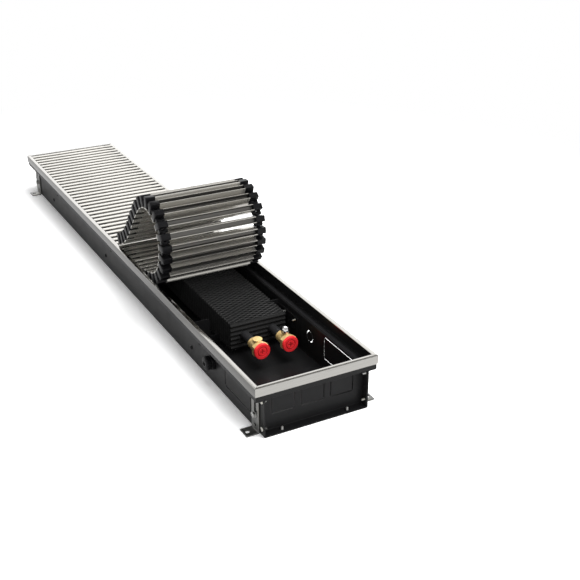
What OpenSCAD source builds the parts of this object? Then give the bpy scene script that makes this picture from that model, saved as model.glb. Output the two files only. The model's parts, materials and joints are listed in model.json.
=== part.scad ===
// Trench convector heater: a floor trough with a fin-and-tube exchanger,
// a bright frame and a roll-up grille that is shown partly rolled back.
// X runs across the trough, Y from its front end to its rear end, Z up from the floor.

/* [Overall] */
// Outside width of the frame
overall_w = 200; // [190:1:240]
// Outside length of the frame
overall_l = 1150; // [1050:1:1600]
// Height from the floor to the top of the frame
overall_h = 85; // [82:1:120]

/* [Trough] */
// Thickness of the trough's steel sheet
sheet_t = 1; // [0.8:0.1:1.4]
// Inside radius of the bends in the sheet
bend_r = 1; // [0.5:0.1:1.5]
// Distance from the frame's outside to the trough's wall
wall_inset = 14.4; // [13:0.2:17]
// Depth of the recess in front of each end plate
end_recess = 16; // [13:0.5:20]
// Width of the slits round a knock-out
slit_w = 1.8; // [1:0.1:2.2]
// Width of the bridges that hold a knock-out
bridge_w = 2; // [1:0.1:3]

/* [End knock-outs] */
// Width of one knock-out in an end plate
end_panel_w = 39; // [30:1:42]
// Height of one knock-out in an end plate
end_panel_h = 36; // [24:1:37]
// Distance between two knock-outs in an end plate
end_panel_gap = 9.5; // [8:0.5:12]
// Height of the knock-outs' lower edge
end_panel_z = 26; // [12:1:27]

/* [Side knock-outs] */
// Length of the pipe knock-out in a side wall
side_panel_l = 87; // [60:1:88]
// Height of the pipe knock-out in a side wall
side_panel_h = 39; // [20:1:42]
// Height of the pipe knock-out's lower edge
side_panel_z = 19; // [14:1:21]
// Distance of the pipe knock-out from the frame's front
side_panel_y = 42.5; // [40:0.5:44]

/* [Frame] */
// Width of the frame's top strip
frame_lip_w = 7; // [6.5:0.1:9]
// Height of the frame's outside face
frame_face_h = 14; // [10:0.5:16]
// Thickness of the frame's aluminium
frame_t = 1.5; // [1.2:0.1:2]
// Open line at the mitred corners
mitre_gap = 0.3; // [0.1:0.1:0.6]

/* [Grille] */
// Height of a slat
slat_h = 21; // [19:0.5:23]
// Width of a slat
slat_w = 10.5; // [9:0.1:12]
// Distance from slat to slat
slat_pitch = 18; // [17.5:0.1:20]
// Thickness of a slat's top
slat_top_t = 1.5; // [1.2:0.1:2]
// Thickness of a slat's legs and lower web
slat_leg_t = 1.2; // [1:0.1:1.6]
// Depth of the groove under a slat
slat_groove = 8; // [5:0.5:10]
// Depth of the hinge line below the grille's top
hinge_drop = 9; // [8:0.5:10]
// Gap between the grille's side and the frame
grille_side_gap = 0.25; // [0.2:0.05:0.5]

/* [Grille links] */
// Length of an end link along the slat
link_l = 16; // [14:0.5:20]
// Width of an end link along the grille
link_w = 10; // [8:0.1:10.4]
// Radius of a link's knuckles
knuckle_r = 3; // [2.8:0.1:3.4]
// Radius of the pin that is part of a link
pin_r = 1.5; // [1:0.1:1.8]
// Radial clearance of that pin in its bore
pin_clear = 0.05; // [0.03:0.01:0.08]
// Side clearance between knuckles
knuckle_gap = 0.3; // [0.2:0.05:0.5]
// Depth of the knuckles behind a link's outside end
knuckle_inset = 1.5; // [1:0.1:2.5]

/* [Roll] */
// Gap between the roll's tip and the slats under it
tip_gap = 0.5; // [0.3:0.1:1.5]

/* [Rubber strip] */
// Thickness of the rubber strip under the grille
strip_t = 1; // [0.8:0.1:1.5]
// Width of the rubber strip
strip_w = 6.5; // [5:0.1:7]

/* [Exchanger] */
// Width of the exchanger
exch_w = 99; // [90:1:104]
// Height of the exchanger
exch_h = 46; // [44:1:50]
// Height of the exchanger's underside
exch_z = 10; // [8:0.5:11]
// Free width between the exchanger and the right wall
exch_side_gap = 11.5; // [10.5:0.5:14]
// Distance of the exchanger from the frame's front
exch_front = 234; // [230:1:260]
// Distance of the exchanger from the frame's rear
exch_rear = 70; // [66:1:90]
// Distance from fin to fin
fin_pitch = 12; // [10:0.5:16]
// Thickness of a fin
fin_t = 0.5; // [0.4:0.1:0.8]
// Height of a fin's waves to each side
fin_wave = 1.4; // [1:0.1:2]
// Number of half waves across a fin
fin_half_waves = 12; // [10:1:14]
// Thickness of the plates at the exchanger's ends
plate_t = 1.5; // [1:0.1:2]
// Number of ridges across an end plate of the exchanger
plate_ridges = 6; // [4:1:8]
// Height of those ridges
plate_wave = 1.2; // [0.8:0.1:1.6]

/* [Tubes] */
// Outside diameter of the tubes
tube_d = 15; // [14:0.5:16]
// Wall of the tubes
tube_wall = 1; // [0.8:0.1:1.5]
// Distance between the two tubes
tube_pitch = 50; // [46:1:54]
// Height of the tubes above the floor
tube_z = 33.5; // [33:0.5:35]
// Clearance round a tube in a fin or a fitting
tube_clear = 0.05; // [0.03:0.01:0.1]
// Length of the bare tube between exchanger and fitting
stub_l = 28.5; // [22:0.5:34]

/* [Fittings] */
// Diameter of the collar that takes the tube
collar_d = 17; // [16.5:0.1:19]
// Length of that collar
collar_l = 8; // [6:0.5:11]
// Diameter of a fitting's body
fitting_d = 20; // [19:0.5:24]
// Length of a fitting's round body
fitting_l = 13.5; // [12:0.5:20]
// Distance across the flats of the fitting's hexagon
hex_af = 25; // [24:0.5:27]
// Length of the hexagon
hex_l = 8.8; // [7:0.1:10]
// Diameter of the pipe thread under a cap
thread_d = 20.9; // [20:0.1:21]
// Diameter of a cap
cap_d = 26.8; // [26:0.1:30]
// Length of a cap
cap_l = 4.6; // [4:0.1:6]
// Wall of a cap's face
cap_face_t = 1.6; // [1.5:0.1:2]
// Diameter of the boss on top of a fitting
boss_d = 10; // [9.5:0.1:13]
// Diameter of the drain plug's head
plug_d = 16; // [12:0.1:17]
// Thickness of the drain plug's head
plug_t = 2.2; // [1.5:0.1:3]
// Diameter of the air vent's knob
knob_d = 15; // [13:0.5:17]
// Height of the air vent's knob
knob_h = 10; // [8:0.5:12]

/* [Cable gland] */
// Diameter of the gland's thread in the wall
gland_d = 20; // [16:0.5:20]
// Diameter of the gland's cap nut
gland_nut_d = 22; // [20:0.5:23]
// Distance across the flats of the gland's hexagon
gland_af = 24; // [22:0.5:25]
// Diameter of the cable that the gland takes
cable_d = 7; // [5:0.5:8]
// Height of the gland and of the round knock-out
gland_z = 37; // [34:1:40]
// Distance of the gland from the frame's front
gland_y = 174; // [172:1:178]

/* [Feet] */
// Thickness of a foot's steel strip
foot_t = 2; // [1.5:0.1:2.5]
// Width of a foot
foot_w = 22; // [20:0.5:26]
// Length of the foot's plate beyond the trough's wall
foot_out = 20.9; // [20:0.1:30]
// Distance of a foot from the end of the frame
foot_y = 26; // [24:0.5:32]
// Diameter of the hole in the foot's plate
foot_hole_d = 7; // [5:0.1:8]
// Distance of that hole from the trough's wall
foot_hole_x = 14.4; // [13.2:0.1:15]
// Width of the slot in the foot's strap
foot_slot_w = 5.5; // [5.2:0.1:6]
// Height of the bolt at which the foot stands on the floor
foot_bolt_z = 27.6; // [26:0.2:30]
// Height by which the trough can be raised on a foot
foot_travel = 30; // [20:1:30]

/* [Fasteners] */
// Diameter of the foot bolts
bolt_d = 5; // [4:0.5:5]
// Distance across the flats of the bolt's head and its nut
bolt_af = 8; // [7:0.5:8]
// Diameter of the small screws
screw_d = 4; // [3:0.1:4]
// Diameter of a small screw's head
screw_head_d = 7; // [6:0.5:7]

/* [Brackets] */
// Thickness of a bracket under the exchanger
bracket_t = 1.5; // [1:0.1:2]
// Distance of the outer brackets from the exchanger's ends
bracket_inset = 46; // [36:1:60]
// Length of a bracket's flange on the wall
bracket_flange = 70; // [64:1:74]
// Distance from the top of a bracket's towers up to the ledge
bracket_drop = 10.8; // [8.8:0.1:12.8]
// Width of the slot between a bracket's left tower and the exchanger
bracket_slot = 16; // [12:0.5:18]
// Height of that slot's floor
bracket_slot_z = 20; // [17:0.5:21]
// Reach of the hook that holds the exchanger down
bracket_hook_l = 11.4; // [6:0.2:16]
// Thickness of that hook
bracket_hook_t = 2; // [1.5:0.1:3]

/* [Hidden] */
$fn = 48;
eps = 0.01;
seat_gap = 0.1;
bend_steps = 4;

// Turns of the roll's hinges in degrees, as [number of hinges, turn].
// The turn between the two lists is worked out so that the tip comes to rest.
roll_rise = [[4, 3], [1, 6], [3, 16], [3, 14], [5, 18]];
roll_fall = [[1, 3], [2, 2], [1, -2], [1, -4], [1, -8], [1, -9], [1, -7]];
settle_count = 2;
roll_count = len(spread(roll_rise)) + settle_count + len(spread(roll_fall));
settle_limits = [6, 22];
settle_steps = 24;

// Places down and along the sheet metal
half_w = overall_w / 2;
half_l = overall_l / 2;
wall_x = half_w - wall_inset;
wall_in = wall_x - sheet_t;
mat_gap = 0.2;
ledge_z = overall_h - slat_h - mat_gap - strip_t;
lip_x = half_w - frame_t - seat_gap;
lip_end = half_l - frame_t - seat_gap;
lip_z = overall_h - frame_t - seat_gap;
end_y = half_l - end_recess;
end_plate_w = 2 * (wall_in - seat_gap);
end_wing = lip_x - sheet_t - seat_gap;
bend_top = sheet_t + bend_r + seat_gap;

// The grille
opening_l = overall_l - 2 * frame_lip_w;
end_gap_min = 0.6;
slat_count = floor((opening_l - 2 * end_gap_min) / slat_pitch);
flat_count = slat_count - roll_count;
grille_l = slat_count * slat_pitch;
grille_w = overall_w - 2 * (frame_lip_w + grille_side_gap);
hinge_z = overall_h - hinge_drop;
roll_y = grille_l / 2 - flat_count * slat_pitch;
bore_r = pin_r + pin_clear;
cheek_t = (link_l - knuckle_inset - 2 * knuckle_gap) / 3;
tenon_l = link_l / 2;
link_clear = 0.1;

// The exchanger
exch_x = wall_in - exch_side_gap - exch_w / 2;
exch_y0 = exch_front - half_l;
exch_y1 = half_l - exch_rear;
tube_xs = [exch_x - tube_pitch / 2, exch_x + tube_pitch / 2];
tube_hole_d = tube_d + 2 * tube_clear;
plate_steps = 6;
plate_deep = plate_t + 2 * plate_wave;
fin_room = exch_y1 - exch_y0 - 2 * (plate_deep + fin_wave + fin_t);
fin_count = floor(fin_room / fin_pitch) + 1;
tube_end = 6;
tube_in_fitting = 12;
collar_y1 = exch_y0 - stub_l;
fitting_y1 = collar_y1 - collar_l;
fitting_y0 = fitting_y1 - fitting_l;
hex_y0 = fitting_y0 - hex_l;
cap_y0 = hex_y0 - seat_gap - cap_l;
thread_l = cap_l - cap_face_t - seat_gap;
boss_y = fitting_y0 + boss_d / 2 - seat_gap;
boss_z = tube_z + hex_af / 2 + seat_gap;
water_d = tube_d - 2 * tube_wall;
plug_stem_d = 6;
plug_stem_l = 5;
plug_slot_w = 1.6;
plug_slot_deep = 1;
knob_stem_d = 8;
knob_flutes = 12;
flute_d = 2.2;
// The knob's profile as shares of its radius and of its height
knob_shares = [[0, 0], [0.8, 0], [1, 0.2], [0.97, 0.32], [0.74, 0.8], [0.66, 0.92], [0.5, 1], [0, 1]];
cap_ring_d = 17;
cap_ring_w = 1.2;
cap_mark_deep = 0.8;
cap_cross_l = 10;
cap_cross_w = 2.4;

// Brackets along the exchanger, and the places of their screws
bracket_h = ledge_z - bracket_drop;
bracket_ys = [exch_y0 + bracket_inset, (exch_y0 + exch_y1) / 2 + bracket_flange / 2, exch_y1 - bracket_inset];
bracket_tower_r = 6;
bracket_side_gap = 0.3;
bracket_z = sheet_t + seat_gap;
// Screws as shares of the flange's length and of the tower's height
left_screw_shares = [[0.35, 0.42], [0.86, 0.9]];
right_screw_shares = [[0.37, 0.91], [0.86, 0.89]];
screw_hole_d = screw_d + 2 * mat_gap;
screw_head_t = 2;
screw_tip = 5;

// Screws in the flanges of the end plates
end_screw_y = half_l - end_recess / 2;
side_screw_shares = [0.19, 0.9];
floor_screw_shares = [-0.27, 0.27];

// The gland
gland_hex_t = 5;
gland_nut_l = 9;
gland_lock_t = 4;
gland_tip = 2;
gland_hole_d = gland_d + 2 * seat_gap;

// The feet
foot_x = wall_x + seat_gap;
foot_top = ledge_z - sheet_t - bend_r - seat_gap;
foot_small_hole_z = 10;
foot_small_hole_d = 5;
bolt_hole_d = bolt_d + 2 * mat_gap;
washer_t = 1;
washer_d = 2 * bolt_d;
bolt_head_t = 3.5;
bolt_nut_t = 4;
bolt_tip = 2;
foot_bolt_y = half_l - foot_y;

// How far a cut runs past the face that it leaves by
over = 1;

// Name of one slat of the roll, with two digits
function roll_name(i) = str("roll_slat_", i < 10 ? "0" : "", i);

function unit(v) = v / norm(v);
function turned(v) = [-v[1], v[0]];
function degrees_between(a, b) = (b - a + 540) % 360 - 180;

// The arc that rounds the corner b between a and c, as steps + 1 points
function bend(a, b, c, r, steps) =
    let (u = unit(a - b), w = unit(c - b), half = acos(u * w) / 2,
         o = b + unit(u + w) * r / sin(half), reach = r / tan(half),
         s = b + u * reach - o, e = b + w * reach - o,
         a0 = atan2(s[1], s[0]), sweep = degrees_between(a0, atan2(e[1], e[0])))
    [for (i = [0:steps]) o + r * [cos(a0 + sweep * i / steps), sin(a0 + sweep * i / steps)]];

// A line through the points p whose inner corners are rounded
function bent_line(p, r, steps = bend_steps) =
    [p[0],
     for (i = [1:len(p) - 2]) each bend(p[i - 1], p[i], p[i + 1], r, steps),
     p[len(p) - 1]];

// The offset of a line's point i to its left, mitred
function side_step(p, i) =
    let (n = len(p) - 1,
         a = i > 0 ? turned(unit(p[i] - p[i - 1])) : turned(unit(p[1] - p[0])),
         b = i < n ? turned(unit(p[i + 1] - p[i])) : a,
         m = unit(a + b))
    m / (m * a);

// The outline of a sheet of thickness t along a line
function sheet_outline(p, t) =
    concat([for (i = [0:len(p) - 1]) p[i] + side_step(p, i) * t / 2],
           [for (i = [len(p) - 1:-1:0]) p[i] - side_step(p, i) * t / 2]);

module bent_sheet(p, t, r) {
    polygon(sheet_outline(bent_line(p, r), t));
}

// Extrudes a drawing made in X and Z along Y, centred
module along_y(l) {
    rotate([90, 0, 0]) linear_extrude(l, center = true) children();
}

// Extrudes a drawing made in Y and Z along X, centred
module along_x(l) {
    rotate([90, 0, 90]) linear_extrude(l, center = true) children();
}

// A cylinder along +X, +Y or -Y that starts at the origin
module rod_x(d, l) {
    rotate([0, 90, 0]) cylinder(d = d, h = l);
}

module rod_y(d, l) {
    rotate([-90, 0, 0]) cylinder(d = d, h = l);
}

// A hexagonal prism, given across its flats
module hex_prism(af, l) {
    cylinder(d = af / cos(30), h = l, $fn = 6);
}

// The four slits of a rectangular knock-out, open between bridges at the corners
module panel_slits(w, h) {
    for (s = [-1, 1]) {
        translate([s * (w - slit_w) / 2, 0]) square([slit_w, h - 2 * bridge_w], center = true);
        translate([0, s * (h - slit_w) / 2]) square([w - 2 * bridge_w, slit_w], center = true);
    }
}

// The two slits of a round knock-out, open between bridges above and below
module ring_slits(d) {
    difference() {
        circle(d = d);
        circle(d = d - 2 * slit_w);
        square([bridge_w, d + over], center = true);
    }
}

// Floor, walls, ledges and upstands, folded from one sheet
module trough_casing() {
    edge = lip_x - sheet_t / 2;
    wall = wall_x - sheet_t / 2;
    ledge = ledge_z - sheet_t / 2;
    floor_mid = sheet_t / 2;
    section = [[-edge, lip_z], [-edge, ledge], [-wall, ledge], [-wall, floor_mid],
               [wall, floor_mid], [wall, ledge], [edge, ledge], [edge, lip_z]];
    color("#26272a")
    difference() {
        along_y(2 * lip_end) bent_sheet(section, sheet_t, bend_r + sheet_t / 2);
        for (side = [-1, 1]) {
            panel_y = -half_l + side_panel_y + side_panel_l / 2;
            translate([side * wall, panel_y, side_panel_z + side_panel_h / 2])
                along_x(2 * sheet_t) panel_slits(side_panel_l, side_panel_h);
            for (y = [-foot_bolt_y, foot_bolt_y])
                translate([side * wall - over, y, foot_bolt_z]) rod_x(bolt_hole_d, 2 * over);
            for (y = [-end_screw_y, end_screw_y], s = side_screw_shares)
                translate([side * wall - over, y, s * ledge_z]) rod_x(screw_hole_d, 2 * over);
        }
        translate([wall, gland_y - half_l, gland_z]) along_x(2 * sheet_t) ring_slits(gland_hole_d);
        translate([-wall - over, gland_y - half_l, gland_z]) rod_x(gland_hole_d, 2 * over);
        for (y = [-end_screw_y, end_screw_y], s = floor_screw_shares)
            translate([s * overall_w, y, 0]) {
                translate([0, 0, -over]) cylinder(d = screw_hole_d, h = sheet_t + 2 * over);
                translate([0, 0, -eps])
                    cylinder(d1 = screw_head_d + 2 * mat_gap, d2 = screw_hole_d, h = sheet_t + eps);
            }
        for (b = bracket_ys) {
            for (s = left_screw_shares)
                translate([-wall - over, b - s[0] * bracket_flange, s[1] * bracket_h])
                    rod_x(screw_hole_d, 2 * over);
            for (s = right_screw_shares)
                translate([wall - over, b - s[0] * bracket_flange, s[1] * bracket_h])
                    rod_x(screw_hole_d, 2 * over);
        }
    }
}

// The front end plate: web, ledge and upstand in one bend, with side flanges
module end_plate() {
    web = end_y - sheet_t / 2;
    front = lip_end - sheet_t / 2;
    floor_mid = 1.5 * sheet_t + seat_gap;
    ledge = ledge_z - sheet_t / 2;
    side_z0 = floor_mid + bend_r + sheet_t;
    side_z1 = ledge - bend_r - sheet_t;
    wing_z = ledge_z + seat_gap;
    section = [[-front, floor_mid], [-web, floor_mid], [-web, ledge], [-front, ledge], [-front, lip_z]];
    color("#232427")
    difference() {
        union() {
            along_x(end_plate_w) bent_sheet(section, sheet_t, bend_r + sheet_t / 2);
            for (side = [-1, 1]) {
                flange_x = side * (end_plate_w - sheet_t) / 2;
                translate([flange_x, -(front + web) / 2, (side_z0 + side_z1) / 2])
                    cube([sheet_t, front - web, side_z1 - side_z0], center = true);
                translate([side * end_wing / 2, -front, (wing_z + lip_z) / 2])
                    cube([end_wing, sheet_t, lip_z - wing_z], center = true);
            }
        }
        for (i = [-1, 0, 1])
            translate([i * (end_panel_w + end_panel_gap), -web, end_panel_z + end_panel_h / 2])
                along_y(2 * sheet_t) panel_slits(end_panel_w, end_panel_h);
        for (side = [-1, 1], s = side_screw_shares)
            translate([side * (end_plate_w - sheet_t) / 2 - over, -end_screw_y, s * ledge_z])
                rod_x(screw_hole_d, 2 * over);
        for (s = floor_screw_shares)
            translate([s * overall_w, -end_screw_y, sheet_t]) cylinder(d = screw_hole_d, h = 2 * over);
        for (side = [-1, 1])
            translate([side * end_plate_w / 2, -half_l, 0])
                cube([2 * bend_r, 2 * (end_recess + over), 2 * bend_top], center = true);
    }
}

module front_end_plate() {
    end_plate();
}

module rear_end_plate() {
    mirror([0, 1, 0]) end_plate();
}

// One side of the frame along Y, cut at 45 degrees at both ends.
// Its outside face is at X = -reach, and its outside length is l.
module frame_side(reach, l) {
    far = 2 * half_l;
    color("#c9c7c2")
    difference() {
        along_y(l) {
            translate([-reach, overall_h - frame_face_h]) square([frame_t, frame_face_h]);
            translate([-reach, overall_h - frame_t]) square([frame_lip_w, frame_t]);
        }
        for (s = [-1, 1]) scale([1, s, 1])
            translate([-reach, l / 2 - mitre_gap * cos(45), overall_h / 2])
                rotate([0, 0, -45]) translate([-far / 2, 0, -far / 2]) cube([far, far, far]);
    }
}

module frame_left() {
    frame_side(half_w, overall_l);
}

module frame_right() {
    mirror([1, 0, 0]) frame_side(half_w, overall_l);
}

module frame_front() {
    rotate([0, 0, 90]) frame_side(half_l, overall_w);
}

module frame_rear() {
    rotate([0, 0, -90]) frame_side(half_l, overall_w);
}

// The front left foot: a plate on the floor and a slotted strap up the wall
module foot() {
    strap = foot_x + foot_t / 2;
    slot_top = foot_bolt_z + foot_travel;
    color("#b9bcbf")
    difference() {
        translate([0, -foot_bolt_y, 0])
            along_y(foot_w)
                bent_sheet([[-foot_x - foot_out, foot_t / 2], [-strap, foot_t / 2], [-strap, foot_top]],
                           foot_t, foot_t);
        translate([-wall_x - foot_hole_x, -foot_bolt_y, -over])
            cylinder(d = foot_hole_d, h = foot_t + 2 * over);
        translate([-strap, -foot_bolt_y, 0]) along_x(2 * foot_t) {
            translate([-foot_slot_w / 2, foot_bolt_z]) square([foot_slot_w, slot_top - foot_bolt_z]);
            translate([0, foot_bolt_z]) circle(d = foot_slot_w);
            translate([0, slot_top]) circle(d = foot_slot_w);
            translate([0, foot_small_hole_z]) circle(d = foot_small_hole_d);
        }
    }
}

module front_left_foot() {
    foot();
}

module front_right_foot() {
    mirror([1, 0, 0]) foot();
}

module rear_left_foot() {
    mirror([0, 1, 0]) foot();
}

module rear_right_foot() {
    mirror([1, 0, 0]) mirror([0, 1, 0]) foot();
}

// Bolt and washer outside the strap, nut inside the wall
module foot_bolt() {
    face = foot_x + foot_t + seat_gap;
    under_head = face + washer_t + seat_gap;
    nut_face = wall_in - seat_gap;
    translate([-under_head, 0, 0]) {
        rotate([0, -90, 0]) hex_prism(bolt_af, bolt_head_t);
        rod_x(bolt_d, under_head - nut_face + bolt_nut_t + bolt_tip);
    }
    translate([-under_head + seat_gap, 0, 0]) difference() {
        rod_x(washer_d, washer_t);
        translate([-over, 0, 0]) rod_x(bolt_hole_d, washer_t + 2 * over);
    }
    translate([-nut_face, 0, 0]) difference() {
        rotate([0, 90, 0]) hex_prism(bolt_af, bolt_nut_t);
        translate([-over, 0, 0]) rod_x(bolt_d + 2 * pin_clear, bolt_nut_t + 2 * over);
    }
}

module foot_fasteners() {
    color("#d3d5d6")
    for (mx = [0, 1], my = [0, 1])
        mirror([mx, 0, 0]) mirror([0, my, 0])
            translate([0, -foot_bolt_y, foot_bolt_z]) foot_bolt();
}

// A pan screw along +Z whose head's underside is at the origin
module pan_screw(l) {
    translate([0, 0, -screw_head_t]) cylinder(d = screw_head_d, h = screw_head_t);
    cylinder(d = screw_d, h = l);
}

// A countersunk screw along +Z whose head's face is at the origin
module flush_screw(l) {
    cylinder(d1 = screw_head_d, d2 = screw_d, h = sheet_t);
    cylinder(d = screw_d, h = l);
}

module end_plate_screws() {
    l = 2 * sheet_t + 3 * seat_gap + screw_tip;
    color("#c4c6c8")
    for (my = [0, 1]) mirror([0, my, 0]) translate([0, -end_screw_y, 0]) {
        for (side = [-1, 1], s = side_screw_shares)
            translate([side * (wall_x + seat_gap), 0, s * ledge_z])
                rotate([0, -side * 90, 0]) pan_screw(l);
        for (s = floor_screw_shares)
            translate([s * overall_w, 0, 0]) flush_screw(l);
    }
}

// One wavy fin with its two tube holes
module fin() {
    step = exch_w / fin_half_waves;
    wave = [for (i = [0:fin_half_waves]) [i * step - exch_w / 2, (i % 2 == 0 ? 1 : -1) * fin_wave]];
    difference() {
        translate([exch_x, 0, exch_z]) linear_extrude(exch_h) polygon(sheet_outline(wave, fin_t));
        for (x = tube_xs)
            translate([x, -tube_d, tube_z]) rod_y(tube_hole_d, 2 * tube_d);
    }
}

module exchanger_fins() {
    middle = (exch_y0 + exch_y1) / 2;
    color("#2c2d30")
    for (i = [0:fin_count - 1])
        translate([0, middle + (i - (fin_count - 1) / 2) * fin_pitch, 0])
            if (i % 2 == 0) fin();
            else mirror([0, 1, 0]) fin();
}

// A ridged plate at the exchanger's end, from Y = 0 to plate_deep
module ridged_plate() {
    points = plate_ridges * plate_steps;
    wave = [for (i = [0:points])
        [plate_t / 2 + plate_wave * (1 + cos(360 * i / plate_steps)), exch_h * i / points]];
    difference() {
        translate([exch_x, 0, exch_z]) along_x(exch_w) polygon(sheet_outline(wave, plate_t));
        for (x = tube_xs)
            translate([x, -tube_d, tube_z]) rod_y(tube_hole_d, 2 * tube_d);
    }
}

module exchanger_front_plate() {
    color("#2a2b2e") translate([0, exch_y0, 0]) ridged_plate();
}

module exchanger_rear_plate() {
    color("#2a2b2e") translate([0, exch_y1, 0]) mirror([0, 1, 0]) ridged_plate();
}

// A straight tube from its seat in the fitting to the return bend
module tube(x) {
    y0 = collar_y1 - tube_in_fitting;
    l = exch_y1 + tube_end - y0;
    color("#8c5a3c")
    translate([x, y0, tube_z]) difference() {
        rod_y(tube_d, l);
        translate([0, -over, 0]) rod_y(water_d, l + 2 * over);
    }
}

module supply_tube() {
    tube(tube_xs[0]);
}

module return_tube() {
    tube(tube_xs[1]);
}

module return_bend() {
    color("#8c5a3c")
    translate([exch_x, exch_y1 + tube_end, tube_z])
        rotate_extrude(angle = 180) translate([tube_pitch / 2, 0]) difference() {
            circle(d = tube_d);
            circle(d = water_d);
        }
}

// The left tower, the slot, the seat and the right tower of one bracket
module bracket() {
    x0 = -wall_in + seat_gap;
    x1 = wall_in - seat_gap;
    seat_x0 = exch_x - exch_w / 2 - bracket_side_gap;
    seat_x1 = exch_x + exch_w / 2 + bracket_side_gap;
    tower_x = seat_x0 + bracket_side_gap - bracket_slot;
    seat_z = exch_z - seat_gap;
    r = bracket_tower_r;
    top = bracket_h;
    corner = [for (i = [0:bend_steps])
        [tower_x - r + r * sin(90 * i / bend_steps), top - r + r * cos(90 * i / bend_steps)]];
    hook_z = exch_z + exch_h + seat_gap;
    hook_top = hook_z + bracket_hook_t;
    outline = concat([[x0, bend_top], [x0, top]], corner,
        [[tower_x, bracket_slot_z], [seat_x0, bracket_slot_z], [seat_x0, seat_z],
         [seat_x1, seat_z], [seat_x1, hook_z], [seat_x1 - bracket_hook_l, hook_z],
         [seat_x1 - bracket_hook_l, hook_top], [x1, hook_top], [x1, bend_top],
         [x1 - bend_r, bracket_z], [x0 + bend_r, bracket_z]]);
    flange_z0 = bracket_z + r;
    along_y(bracket_t) polygon(outline);
    for (side = [-1, 1])
        translate([side * (wall_in - seat_gap - bracket_t / 2), -(bracket_flange - bracket_t) / 2,
                   (flange_z0 + top) / 2])
            cube([bracket_t, bracket_flange, top - flange_z0], center = true);
}

module exchanger_brackets() {
    color("#1f2022")
    for (b = bracket_ys) translate([0, b, 0]) difference() {
        bracket();
        for (s = left_screw_shares)
            translate([-wall_in - over, -s[0] * bracket_flange, s[1] * bracket_h])
                rod_x(screw_hole_d, bracket_t + 2 * over);
        for (s = right_screw_shares)
            translate([wall_in + over - bracket_t - 2 * over, -s[0] * bracket_flange, s[1] * bracket_h])
                rod_x(screw_hole_d, bracket_t + 2 * over);
    }
}

module bracket_screws() {
    l = sheet_t + bracket_t + 3 * seat_gap + screw_tip;
    color("#c4c6c8")
    for (b = bracket_ys) translate([0, b, 0]) {
        for (s = left_screw_shares)
            translate([-wall_x - seat_gap, -s[0] * bracket_flange, s[1] * bracket_h])
                rotate([0, 90, 0]) pan_screw(l);
        for (s = right_screw_shares)
            translate([wall_x + seat_gap, -s[0] * bracket_flange, s[1] * bracket_h])
                rotate([0, -90, 0]) pan_screw(l);
    }
}

// A brass fitting: tube collar, round body, hexagon, pipe thread, and a boss on top
module fitting(x) {
    stem_d = x == tube_xs[0] ? plug_stem_d : knob_stem_d;
    whole_l = collar_y1 - hex_y0 + thread_l;
    color("#c39a4e")
    translate([x, 0, tube_z]) difference() {
        union() {
            translate([0, fitting_y1 - eps, 0]) rod_y(collar_d, collar_l + eps);
            translate([0, fitting_y0, 0]) rod_y(fitting_d, fitting_l);
            translate([0, hex_y0, 0]) rotate([-90, 0, 0]) hex_prism(hex_af, hex_l);
            translate([0, hex_y0 - thread_l, 0]) rod_y(thread_d, thread_l + over);
            translate([0, boss_y, 0]) cylinder(d = boss_d, h = boss_z - tube_z);
        }
        translate([0, hex_y0 - thread_l - over, 0]) rod_y(water_d, whole_l + 2 * over);
        translate([0, collar_y1 - tube_in_fitting - seat_gap, 0])
            rod_y(tube_hole_d, tube_in_fitting + seat_gap + over);
        translate([0, boss_y, 0]) cylinder(d = stem_d + 2 * pin_clear, h = boss_z - tube_z + over);
    }
}

module supply_fitting() {
    fitting(tube_xs[0]);
}

module return_fitting() {
    fitting(tube_xs[1]);
}

// A red cap with a ring and a cross sunk into its face
module thread_cap(x) {
    color("#e0262a")
    translate([x, cap_y0, tube_z]) difference() {
        rod_y(cap_d, cap_l);
        translate([0, cap_face_t, 0]) rod_y(thread_d + 2 * seat_gap, cap_l);
        translate([0, -over, 0]) difference() {
            rod_y(cap_ring_d, over + cap_mark_deep);
            translate([0, -over, 0]) rod_y(cap_ring_d - 2 * cap_ring_w, 2 * over + cap_mark_deep + over);
        }
        for (size = [[cap_cross_l, cap_cross_w], [cap_cross_w, cap_cross_l]])
            translate([-size[0] / 2, -over, -size[1] / 2])
                cube([size[0], over + cap_mark_deep, size[1]]);
    }
}

module supply_cap() {
    thread_cap(tube_xs[0]);
}

module return_cap() {
    thread_cap(tube_xs[1]);
}

module drain_plug() {
    color("#d2b25c")
    translate([tube_xs[0], boss_y, boss_z + seat_gap]) difference() {
        union() {
            cylinder(d = plug_d, h = plug_t);
            translate([0, 0, -plug_stem_l]) cylinder(d = plug_stem_d, h = plug_stem_l + eps);
        }
        translate([-plug_d / 2 - over, -plug_slot_w / 2, plug_t - plug_slot_deep])
            cube([plug_d + 2 * over, plug_slot_w, plug_slot_deep + over]);
    }
}

// The fluted knob of the air vent, drawn in towards its top
module air_vent_knob() {
    profile = [for (p = knob_shares) [p[0] * knob_d / 2, p[1] * knob_h]];
    color("#d9dadb")
    translate([tube_xs[1], boss_y, boss_z + seat_gap]) difference() {
        union() {
            translate([0, 0, -plug_stem_l]) cylinder(d = knob_stem_d, h = plug_stem_l + eps);
            rotate_extrude() polygon(profile);
        }
        for (i = [0:knob_flutes - 1])
            rotate([0, 0, 360 * i / knob_flutes]) translate([(knob_d + flute_d / 2) / 2, 0, -over])
                cylinder(d = flute_d, h = knob_h + 2 * over);
    }
}

// The gland's parts are drawn along +X from the wall's outside face
module at_gland() {
    translate([-wall_x, gland_y - half_l, gland_z]) children();
}

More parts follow.
